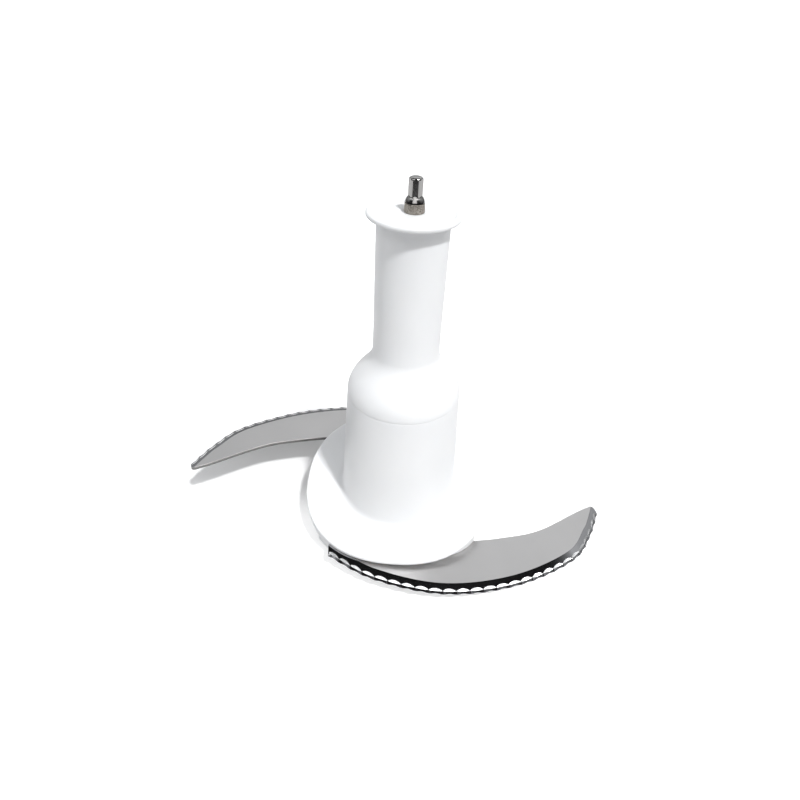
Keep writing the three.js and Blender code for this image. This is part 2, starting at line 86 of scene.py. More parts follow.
class Sums:
    """A node tree with short ways to work out values in it. An operand is a socket or a number."""

    def __init__(self, tree: bpy.types.NodeTree) -> None:
        """Works in the given tree."""
        self.tree = tree

    def connect(self, source: object, target: bpy.types.NodeSocket) -> None:
        """Feeds a socket.

        Args:
            source: a socket to link, or a number or a tuple to set.
            target: the socket that it goes to.
        """
        if isinstance(source, bpy.types.NodeSocket):
            self.tree.links.new(source, target)
        else:
            target.default_value = source

    def feed(self, node: bpy.types.Node, **inputs: object) -> None:
        """Feeds a node's inputs.

        Args:
            node: the node.
            **inputs: what each input gets, by name, with _ for a space.
        """
        for name, source in inputs.items():
            self.connect(source, node.inputs[name.replace("_", " ")])

    def add(self, kind: str, **inputs: object) -> bpy.types.Node:
        """Adds a shader node.

        Args:
            kind: its type, without ShaderNode in front.
            **inputs: what its inputs get.

        Returns:
            The node.
        """
        node = self.tree.nodes.new(f"ShaderNode{kind}")
        self.feed(node, **inputs)
        return node

    def math(self, operation: str, a: object, b: object = 0.0) -> bpy.types.NodeSocket:
        """Adds a Math node.

        Args:
            operation: MULTIPLY, ADD and so on.
            a: first operand.
            b: second operand.

        Returns:
            The node's value.
        """
        node = self.add("Math")
        node.operation = operation
        self.connect(a, node.inputs[0])
        self.connect(b, node.inputs[1])
        return node.outputs[0]

    def plus(self, a: object, b: object) -> bpy.types.NodeSocket:
        """a + b."""
        return self.math("ADD", a, b)

    def minus(self, a: object, b: object) -> bpy.types.NodeSocket:
        """a - b."""
        return self.math("SUBTRACT", a, b)

    def times(self, a: object, b: object) -> bpy.types.NodeSocket:
        """a * b."""
        return self.math("MULTIPLY", a, b)

    def mix(self, start: object, end: object, share: object) -> bpy.types.NodeSocket:
        """start + share * (end - start).

        Args:
            start: value where the share is 0.
            end: value where the share is 1.
            share: how far to go.

        Returns:
            The mixed value.
        """
        if isinstance(start, float) and isinstance(end, float):
            return self.plus(self.times(share, end - start), start)
        return self.plus(start, self.times(share, self.minus(end, start)))

    def between(self, value: object, low: float, high: float) -> bpy.types.NodeSocket:
        """Share of the way from low to high, clamped and smoothed at both ends.

        Args:
            value: the value to place.
            low: where the share is 0.
            high: where the share is 1.

        Returns:
            The share.
        """
        node = self.add("MapRange", Value=value, From_Min=low, From_Max=high)
        node.interpolation_type = "SMOOTHSTEP"
        return node.outputs["Result"]

    def noise(
        self, vector: object, scale: object, detail: float, roughness: float = 0.5
    ) -> bpy.types.NodeSocket:
        """Factor of a Noise Texture at a vector."""
        node = self.add("TexNoise", Vector=vector, Scale=scale, Detail=detail, Roughness=roughness)
        return node.outputs["Fac"]


class Group(Sums):
    """A shader node group with named sockets."""

    def __init__(self, name: str) -> None:
        """Starts an empty group.

        Args:
            name: the group's name.
        """
        super().__init__(bpy.data.node_groups.new(name, "ShaderNodeTree"))
        self.inputs = self.tree.nodes.new("NodeGroupInput")
        self.outputs = self.tree.nodes.new("NodeGroupOutput")

    def take(self, name: str, kind: str, default: float | None = None) -> bpy.types.NodeSocket:
        """Adds an input.

        Args:
            name: the socket's name.
            kind: Float or Vector.
            default: its value where nothing is linked.

        Returns:
            The socket to link from inside the group.
        """
        socket = self.tree.interface.new_socket(name, in_out="INPUT", socket_type=f"NodeSocket{kind}")
        if default is not None:
            socket.default_value = default
        return self.inputs.outputs[name]

    def give(self, name: str, source: bpy.types.NodeSocket) -> None:
        """Adds a float output fed by a socket inside the group."""
        self.tree.interface.new_socket(name, in_out="OUTPUT", socket_type="NodeSocketFloat")
        self.connect(source, self.outputs.inputs[name])


def moulded_grain() -> bpy.types.NodeTree:
    """Skin of a moulded or pressed surface: fine relief, and a slow drift of tone.

    Height is two octaves of noise, one ten times finer than the other. Drift is broad noise.

    Returns:
        The group.
    """
    group = Group("moulded_grain")
    vector = group.take("Vector", "Vector")
    scale = group.take("Scale", "Float", 900.0)
    fine = group.noise(vector, scale, 2.0, 0.6)
    coarse = group.noise(vector, group.times(scale, 0.1), 1.0)
    group.give("Height", group.plus(group.times(fine, 0.6), group.times(coarse, 0.4)))
    group.give("Drift", group.noise(vector, group.times(scale, 0.02), 2.0))
    return group.tree


def handling_scuffs() -> bpy.types.NodeTree:
    """Marks of use: long thin scratches, thinned out by a patchy mask.

    A scratch is where stretched noise comes within its half width of the noise's middle value.

    Returns:
        The group, whose Mask is 1 on a scratch.
    """
    middle, half_width = 0.5, 0.012
    group = Group("handling_scuffs")
    vector = group.take("Vector", "Vector")
    amount = group.take("Amount", "Float", 0.5)
    stretch = group.add("Mapping", Vector=vector, Scale=(1.0, 9.0, 2.5), Rotation=(0.3, 0.5, 0.7))
    lines = group.noise(stretch.outputs["Vector"], 55.0, 3.0, 0.55)
    nearness = group.math("ABSOLUTE", group.minus(lines, middle))
    thin = group.minus(1.0, group.between(nearness, 0.0, half_width))
    patches = group.between(group.noise(vector, 38.0, 2.0), 0.5, 0.66)
    group.give("Mask", group.times(group.times(thin, patches), amount))
    return group.tree


def grinding_lines() -> bpy.types.NodeTree:
    """Parallel lines left by a wheel or a brush: noise stretched a great deal along one axis.

    Returns:
        The group; its Height varies quickly along the vector's X and hardly along its Y.
    """
    group = Group("grinding_lines")
    vector = group.take("Vector", "Vector")
    pitch = group.take("Lines per metre", "Float", 6000.0)
    stretch = group.add("Mapping", Vector=vector, Scale=(1.0, 0.02, 1.0)).outputs["Vector"]
    group.give("Height", group.noise(stretch, pitch, 3.0, 0.65))
    group.give("Drift", group.noise(stretch, group.times(pitch, 0.06), 2.0))
    return group.tree


@dataclass(frozen=True)
class Effects:
    """The shader groups, built once and placed in each material with its own values."""

    grain: bpy.types.NodeTree
    scuffs: bpy.types.NodeTree
    lines: bpy.types.NodeTree

    @classmethod
    def build(cls) -> "Effects":
        """Builds all the groups."""
        return cls(moulded_grain(), handling_scuffs(), grinding_lines())


# ---------------------------------------------------------------------------
# Finishes
# ---------------------------------------------------------------------------


class Shader(Sums):
    """A material under construction: its Principled BSDF and short ways to feed it."""

    def __init__(self, name: str, roughness: float, metallic: float) -> None:
        """Starts a material.

        Args:
            name: the material's name.
            roughness: the starting roughness.
            metallic: 0 or 1, the same all over.
        """
        self.material = bpy.data.materials.new(name)
        self.material.use_nodes = True
        super().__init__(self.material.node_tree)
        self.bsdf = self.tree.nodes["Principled BSDF"]
        self.feed(self.bsdf, Roughness=roughness, Metallic=metallic)

    def place(self) -> bpy.types.NodeSocket:
        """Object coordinates, in metres."""
        return self.add("TexCoord").outputs["Object"]

    def surface_map(self, name: str) -> bpy.types.NodeSocket:
        """The piece's own UV map, in metres along and across the surface.

        Args:
            name: the map's name.

        Returns:
            Its coordinates.
        """
        node = self.add("UVMap")
        node.uv_map = name
        return node.outputs["UV"]

    def use(self, group: bpy.types.NodeTree, **values: object) -> bpy.types.NodeOutputs:
        """Places a shared group.

        Args:
            group: the shader node group.
            **values: its inputs by name, with _ for a space; sockets or numbers.

        Returns:
            The group's outputs, by name.
        """
        node = self.add("Group")
        node.node_tree = group
        self.feed(node, **values)
        return node.outputs

    def blend_colour(self, factor: object, first: Colour, second: Colour) -> None:
        """Base colour between two colours.

        Args:
            factor: the share of the second colour, which varies over the surface.
            first: colour where the factor is 0.
            second: colour where it is 1.
        """
        node = self.add("Mix")
        node.data_type = "RGBA"
        self.feed(node, Factor=factor, A=(*first, 1.0), B=(*second, 1.0))
        self.connect(node.outputs["Result"], self.bsdf.inputs["Base Color"])

    def vary_roughness(self, factor: object, low: float, high: float) -> None:
        """Roughness from low to high as the factor goes from 0 to 1."""
        node = self.add("MapRange", Value=factor, To_Min=low, To_Max=high)
        self.connect(node.outputs["Result"], self.bsdf.inputs["Roughness"])

    def relief(self, height: object, depth: float) -> None:
        """Bump from a height, with its depth in metres."""
        node = self.add("Bump", Height=height, Distance=depth)
        self.connect(node.outputs["Normal"], self.bsdf.inputs["Normal"])


@dataclass(frozen=True)
class MouldedPlastic:
    """Moulded plastic with a fine skin, slow changes of tone and light marks of use."""

    name: str
    tone: Colour
    shade: Colour
    gloss_roughness: float
    dull_roughness: float
    grain_scale: float = 1500.0
    relief_depth: float = 0.006 * MM
    scuff_amount: float = 0.5
    refraction: float = 1.5
    subsurface: float = 0.0
    scatter: tuple[float, float, float] = (1.2 * MM, 1.1 * MM, 1.0 * MM)

    def build(self, effects: Effects) -> bpy.types.Material:
        """Makes the material: tone and gloss follow the drift of the skin, and scuffs dull it.

        Args:
            effects: the shader groups.

        Returns:
            The material.
        """
        shader = Shader(self.name, self.gloss_roughness, 0.0)
        place = shader.place()
        grain = shader.use(effects.grain, Vector=place, Scale=self.grain_scale)
        scuffs = shader.use(effects.scuffs, Vector=place, Amount=self.scuff_amount)
        shader.blend_colour(shader.between(grain["Drift"], 0.3, 0.75), self.tone, self.shade)
        wear = shader.plus(shader.times(grain["Drift"], 0.6), scuffs["Mask"])
        shader.vary_roughness(wear, self.gloss_roughness, self.dull_roughness)
        shader.relief(grain["Height"], self.relief_depth)
        shader.feed(shader.bsdf, IOR=self.refraction)
        if self.subsurface:
            shader.feed(
                shader.bsdf, Subsurface_Weight=self.subsurface, Subsurface_Radius=self.scatter,
                Subsurface_Scale=1.0,
            )
        return shader.material


@dataclass(frozen=True)
class SatinSteel:
    """Rolled and tumbled stainless sheet: soft reflections with a faint grain along the blade."""

    name: str
    tone: Colour
    shade: Colour
    smooth: float
    rough: float
    lines_per_metre: float
    line_depth: float
    grain_scale: float = 2600.0
    scuff_amount: float = 0.35

    def build(self, effects: Effects) -> bpy.types.Material:
        """Makes the material: rolling lines along the blade, over the fine grain of tumbling.

        Args:
            effects: the shader groups.

        Returns:
            The material.
        """
        shader = Shader(self.name, self.smooth, 1.0)
        along = shader.surface_map("plan")
        lines = shader.use(effects.lines, Vector=along, Lines_per_metre=self.lines_per_metre)
        grain = shader.use(effects.grain, Vector=shader.place(), Scale=self.grain_scale)
        scuffs = shader.use(effects.scuffs, Vector=shader.place(), Amount=self.scuff_amount)
        shader.blend_colour(grain["Drift"], self.tone, self.shade)
        shader.vary_roughness(shader.plus(lines["Drift"], scuffs["Mask"]), self.smooth, self.rough)
        shader.relief(shader.plus(lines["Height"], grain["Height"]), self.line_depth)
        return shader.material


@dataclass(frozen=True)
class MirrorSteel:
    """Polished or ground steel: near-mirror reflections, with the finest lines of its last tool."""

    name: str
    tone: Colour
    shade: Colour
    smooth: float
    rough: float
    lines_per_metre: float = 9000.0
    line_depth: float = 0.0004 * MM
    along_surface: bool = True

    def build(self, effects: Effects) -> bpy.types.Material:
        """Makes the material: one set of lines drives its colour, gloss and relief.

        Args:
            effects: the shader groups.

        Returns:
            The material.
        """
        shader = Shader(self.name, self.smooth, 1.0)
        vector = shader.surface_map("plan") if self.along_surface else shader.place()
        lines = shader.use(effects.lines, Vector=vector, Lines_per_metre=self.lines_per_metre)
        shader.blend_colour(lines["Drift"], self.tone, self.shade)
        shader.vary_roughness(lines["Height"], self.smooth, self.rough)
        shader.relief(lines["Height"], self.line_depth)
        return shader.material


@dataclass(frozen=True)
class SinteredMetal:
    """Pressed and sintered bearing metal: matte, speckled, with open pores."""

    name: str
    tone: Colour
    shade: Colour
    smooth: float = 0.42
    rough: float = 0.62
    pore_scale: float = 3200.0
    grain_scale: float = 2400.0
    pore_depth: float = 0.03 * MM

    def build(self, effects: Effects) -> bpy.types.Material:
        """Makes the material. Pores are the cores of small Voronoi cells, thinned out by noise.

        Args:
            effects: the shader groups.

        Returns:
            The material.
        """
        shader = Shader(self.name, self.rough, 1.0)
        place = shader.place()
        cells = shader.add("TexVoronoi", Vector=place, Scale=self.pore_scale)
        pores = shader.between(cells.outputs["Distance"], 0.1, 0.45)
        grain = shader.use(effects.grain, Vector=place, Scale=self.grain_scale)
        speckle = shader.times(pores, grain["Height"])
        shader.blend_colour(shader.between(speckle, 0.2, 0.6), self.shade, self.tone)
        shader.vary_roughness(speckle, self.rough, self.smooth)
        shader.relief(speckle, self.pore_depth)
        return shader.material


@dataclass(frozen=True)
class SealRubber:
    """Moulded seal rubber: dark, matte, faintly dusty."""

    name: str
    tone: Colour
    dust: Colour
    smooth: float = 0.65
    rough: float = 0.9
    grain_scale: float = 1800.0
    relief_depth: float = 0.02 * MM

    def build(self, effects: Effects) -> bpy.types.Material:
        """Makes the material: dust lies where the drift of the skin is high.

        Args:
            effects: the shader groups.

        Returns:
            The material.
        """
        shader = Shader(self.name, self.smooth, 0.0)
        grain = shader.use(effects.grain, Vector=shader.place(), Scale=self.grain_scale)
        shader.blend_colour(shader.between(grain["Drift"], 0.4, 0.8), self.tone, self.dust)
        shader.vary_roughness(grain["Height"], self.smooth, self.rough)
        shader.relief(grain["Height"], self.relief_depth)
        return shader.material


@dataclass(frozen=True)
class Finishes:
    """Every finish of the knife, ready to assign."""

    white: bpy.types.Material
    grey: bpy.types.Material
    satin: bpy.types.Material
    bevel: bpy.types.Material
    hollow: bpy.types.Material
    sheared_and_painted_shade: bpy.types.Material
    polished: bpy.types.Material
    sintered: bpy.types.Material
    rubber: bpy.types.Material

    @classmethod
    def build(cls) -> "Finishes":
        """Builds the shader groups and all the materials.

        Returns:
            The finishes.
        """
        recipes = {
            "white": MouldedPlastic(
                "white_hub_plastic", (0.835, 0.84, 0.847), (0.81, 0.817, 0.828), 0.3, 0.5, subsurface=0.12
            ),
            "grey": MouldedPlastic("grey_core_plastic", (0.5, 0.51, 0.52), (0.44, 0.45, 0.46), 0.45, 0.65),
            "satin": SatinSteel(
                "satin_blade_steel", (0.635, 0.625, 0.62), (0.575, 0.567, 0.565), 0.26, 0.38,
                lines_per_metre=2600.0, line_depth=0.0012 * MM,
            ),
            "bevel": MirrorSteel("ground_bevel_steel", (0.66, 0.66, 0.67), (0.58, 0.58, 0.6), 0.05, 0.14),
            # Serration hollows: the same ground steel as the bevel but with a far lighter tone, which
            # paints the bright reflections of the hollows.
            "hollow": MirrorSteel(
                "serration_steel_painted_highlight", (0.88, 0.88, 0.88), (0.8, 0.8, 0.8), 0.1, 0.22,
                lines_per_metre=5200.0, line_depth=0.0012 * MM,
            ),
            # Back wall of the blade: rough sheared steel, with a tone far darker than the steel's own,
            # which paints the shade that falls on this wall.
            "sheared_and_painted_shade": SatinSteel(
                "sheared_edge_steel_painted_shade", (0.27, 0.265, 0.26), (0.2, 0.197, 0.193), 0.4, 0.6,
                lines_per_metre=1800.0, line_depth=0.004 * MM,
            ),
            "polished": MirrorSteel(
                "polished_spindle_steel", (0.4, 0.392, 0.385), (0.33, 0.322, 0.315), 0.1, 0.22,
                line_depth=0.0008 * MM, along_surface=False,
            ),
            "sintered": SinteredMetal("sintered_collar_metal", (0.46, 0.425, 0.38), (0.13, 0.12, 0.105)),
            "rubber": SealRubber("seal_rubber", (0.03, 0.03, 0.032), (0.07, 0.07, 0.072)),
        }
        effects = Effects.build()
        return cls(**{name: recipe.build(effects) for name, recipe in recipes.items()})


# ---------------------------------------------------------------------------
# Surfaces
# ---------------------------------------------------------------------------

CORNER_STEPS = 6
LONGEST_CUT = 0.49
SHORTEST_CUT = 1e-6
SHARP_ANGLE = math.radians(38.0)
GRIND_ANGLE = math.radians(7.0)


def unit(vectors: np.ndarray) -> np.ndarray:
    """Vectors along the last axis, each divided by its length."""
    return vectors / np.linalg.norm(vectors, axis=-1, keepdims=True)


def smooth_step(t: np.ndarray) -> np.ndarray:
    """3t^2 - 2t^3, which leaves 0 and reaches 1 without a corner."""
    return 3.0 * t**2 - 2.0 * t**3


def angles_round(sides: int) -> np.ndarray:
    """Polar angles spaced evenly over a whole turn."""
    return np.arange(sides) * 2.0 * math.pi / sides


def round_corners(corners: np.ndarray) -> np.ndarray:
    """Closed profile with its corners rounded by arcs that touch both of their sides.

    Each corner is cut back by radius / tan(half its angle) and the arc is swept about the centre that
    lies on its bisector at radius / sin(half its angle).

    Args:
        corners: one row per corner: radius from the axis, height, corner radius, then any other
            columns, which an arc takes from its corner.

    Returns:
        Dense rows without the corner radius column.
    """
    rows = []
    for i, corner in enumerate(corners):
        before, after = corners[i - 1][:2] - corner[:2], corners[(i + 1) % len(corners)][:2] - corner[:2]
        reach = LONGEST_CUT * min(np.linalg.norm(before), np.linalg.norm(after))
        before, after = unit(before), unit(after)
        half = 0.5 * math.acos(float(np.clip(before @ after, -1.0, 1.0)))
        cut = min(corner[2] / math.tan(half), reach)
        if cut < SHORTEST_CUT:
            rows.append(np.concatenate([corner[:2], corner[3:]])[None])
            continue
        radius = cut * math.tan(half)
        centre = corner[:2] + unit(before + after) * radius / math.sin(half)
        start, end = corner[:2] + before * cut - centre, corner[:2] + after * cut - centre
        turn = math.atan2(start[0] * end[1] - start[1] * end[0], start @ end)
        angle = np.linspace(0.0, turn, CORNER_STEPS)[:, None]
        arc = centre + np.cos(angle) * start + np.sin(angle) * np.array([-start[1], start[0]])
        rows.append(np.hstack([arc, np.repeat(corner[None, 3:], CORNER_STEPS, 0)]))
    return np.vstack(rows)


def refine(rows: np.ndarray, longest: float) -> np.ndarray:
    """Adds rows to a closed profile, evenly between the two rows at the ends of each long step.

    Args:
        rows: the profile, with radius and height in its first two columns.
        longest: the longest step to leave in that plane.

    Returns:
        The rows with those added.
    """
    following = np.roll(rows, -1, axis=0)
    steps = np.linalg.norm((following - rows)[:, :2], axis=1)
    counts = np.maximum(1, np.ceil(steps / longest)).astype(int)
    start = np.repeat(rows, counts, axis=0)
    end = np.repeat(following, counts, axis=0)
    first = np.repeat(np.cumsum(counts) - counts, counts)
    share = (np.arange(counts.sum()) - first) / np.repeat(counts, counts)
    return start + (end - start) * share[:, None]


def put_in_scene(name: str, data: bpy.types.ID) -> bpy.types.Object:
    """Makes an object of a mesh, a light or a camera, and links it to the scene.

    Args:
        name: the object's name.
        data: what it shows.

    Returns:
        The object, at the origin.
    """
    made = bpy.data.objects.new(name, data)
    bpy.context.scene.collection.objects.link(made)
    return made


def make_piece(
    name: str, points: np.ndarray, faces: np.ndarray, caps: list[np.ndarray], sharp: float = SHARP_ANGLE
) -> bpy.types.Object:
    """Makes an object from grid points in millimetres.

    Args:
        name: the piece's name.
        points: n by 3 array.
        faces: m by 4 array of corner numbers.
        caps: closing faces of any number of corners.
        sharp: edges that turn by more than this angle stay sharp.

    Returns:
        The object, smooth-shaded with sharp edges kept, its faces pointing out.
    """
    mesh = bpy.data.meshes.new(name)
    corners = np.concatenate([faces.ravel(), *caps]).astype(np.int32)
    totals = np.concatenate([np.full(len(faces), 4), [len(cap) for cap in caps]]).astype(np.int32)
    mesh.vertices.add(len(points))
    mesh.vertices.foreach_set("co", (points * MM).astype(np.float32).ravel())
    mesh.loops.add(len(corners))
    mesh.loops.foreach_set("vertex_index", corners)
    mesh.polygons.add(len(totals))
    mesh.polygons.foreach_set("loop_start", (np.cumsum(totals) - totals).astype(np.int32))
    mesh.update(calc_edges=True)
    mesh.validate()
    work = bmesh.new()
    work.from_mesh(mesh)
    bmesh.ops.recalc_face_normals(work, faces=work.faces)
    work.to_mesh(mesh)
    work.free()
    mesh.polygons.foreach_set("use_smooth", np.ones(len(mesh.polygons), bool))
    mesh.set_sharp_from_angle(angle=sharp)
    return put_in_scene(name, mesh)


def grid_faces(rows: int, columns: int, wrap_rows: bool) -> np.ndarray:
    """Quads of a grid whose columns close on themselves.

    Args:
        rows: how many rows of points there are.
        columns: how many points a row has.
        wrap_rows: whether the last row joins the first.

    Returns:
        Corner numbers, one row of four for each quad.
    """
    i, j = np.meshgrid(np.arange(rows if wrap_rows else rows - 1), np.arange(columns), indexing="ij")
    below, beside = (i + 1) % rows, (j + 1) % columns
    corners = (i * columns + j, i * columns + beside, below * columns + beside, below * columns + j)
    return np.stack(corners, axis=-1).reshape(-1, 4)


def sweep_sections(name: str, sections: np.ndarray, sharp: float = SHARP_ANGLE) -> bpy.types.Object:
    """Closed sections carried along a path, with a flat face at both ends.

    Args:
        name: the piece's name.
        sections: n sections of m points each, n by m by 3, in millimetres.
        sharp: edges that turn by more than this angle stay sharp.

    Returns:
        The object.
    """
    count, size = sections.shape[:2]
    caps = [np.arange(size)[::-1], (count - 1) * size + np.arange(size)]
    return make_piece(name, sections.reshape(-1, 3), grid_faces(count, size, False), caps, sharp)


def turned_points(radius: np.ndarray, height: np.ndarray) -> np.ndarray:
    """Points round the Z axis.

    Args:
        radius: distance from the axis, rows by evenly spaced polar angles.
        height: height, in the same shape.

    Returns:
        Rows by angles by 3.
    """
    angle = angles_round(radius.shape[1])
    return np.stack([radius * np.cos(angle), radius * np.sin(angle), height], axis=-1)


@dataclass(frozen=True)
class RoundedSquare:
    """Plan of the brim: |x|^n + |y|^n = reach^n, leaned so that it rises along Y.

    Where the blades come out, at polar angles near draw_turn and opposite, it may be drawn in by the
    share draw. That fades over the angle a from draw_turn as 3t^2 - 2t^3, where t = cos(2a) / draw_fade.
    """

    power: float = 2.29
    slope: float = 0.158
    draw: float = 0.0
    draw_turn: float = math.radians(-72.0)
    draw_fade: float = 0.6

    def stretch(self, angle: np.ndarray) -> np.ndarray:
        """How much further out than its reach the outline lies.

        Args:
            angle: polar angles.

        Returns:
            A factor for each of them.
        """
        total = np.abs(np.cos(angle)) ** self.power + np.abs(np.sin(angle)) ** self.power
        t = np.clip(np.cos(2.0 * (angle - self.draw_turn)) / self.draw_fade, 0.0, 1.0)
        return total ** (-1.0 / self.power) * (1.0 - self.draw * smooth_step(t))

    def half_width(self, x: np.ndarray, reach: float) -> np.ndarray:
        """Distance of the outline from the X axis at each x."""
        left = np.clip(1.0 - np.abs(x / reach) ** self.power, 0.0, 1.0)
        return reach * left ** (1.0 / self.power)


def turn_profile(
    name: str, rows: np.ndarray, sides: int, plan: RoundedSquare | None = None, taper: float = 0.0
) -> bpy.types.Object:
    """Closed profile carried round the Z axis.

    At polar angle a, a row lies at radius r * (1 - square + square * stretch(a)), and at height
    z + lean * slope * y. A row with follow = 1 keeps to a cone of the given taper as it leans.

    Args:
        name: the piece's name.
        rows: radius and height, then square, lean and follow where there is a plan.
        sides: steps round the axis.
        plan: the rounded square that rows blend into and lean with.
        taper: loss of radius per millimetre of height.

    Returns:
        The object.
    """
    radius = np.repeat(rows[:, :1], sides, axis=1)
    height = np.repeat(rows[:, 1:2], sides, axis=1)
    if plan:
        angle = angles_round(sides)
        square, lean, follow = rows[:, 2:3], rows[:, 3:4], rows[:, 4:5]
        radius = radius * (1.0 - square + square * plan.stretch(angle)[None])
        rise = lean * plan.slope * radius * np.sin(angle)[None]
        height = height + rise
        radius = radius - follow * taper * rise
    points = turned_points(radius, height).reshape(-1, 3)
    return make_piece(name, points, grid_faces(len(rows), sides, True), [])


def plain_ring(
    name: str, inner: float, outer: float, bottom: float, top: float, corner: float
) -> bpy.types.Object:
    """A ring of rectangular section with rounded corners, turned about the axis.

    Args:
        name: the piece's name.
        inner: radius of its bore.
        outer: radius of its rim.
        bottom: height of its lower face.
        top: height of its upper face.
        corner: radius of its corners.

    Returns:
        The object.
    """
    section = [(inner, bottom), (outer, bottom), (outer, top), (inner, top)]
    return turn_profile(name, round_corners(np.array([(*point, corner) for point in section])), 128)


def finish_piece(
    piece: bpy.types.Object, body: Body, slot: Slot, *materials: bpy.types.Material
) -> None:
    """Dresses a piece and fixes it to its body.

    Args:
        piece: the new object.
        body: the body that it rides on.
        slot: the record's slot; not used.
        *materials: its materials, in the order of its faces' material numbers.
    """
    for material in materials:
        piece.data.materials.append(material)
    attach(piece, body.value)
    LOG.info("%s: %d faces", piece.name, len(piece.data.polygons))


def node_box(node: str) -> np.ndarray:
    """Lowest and highest corner of a node's box, in millimetres."""
    return np.array([tuple(corner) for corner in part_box(node)]) / MM


# ---------------------------------------------------------------------------
# Sub-assemblies
# ---------------------------------------------------------------------------


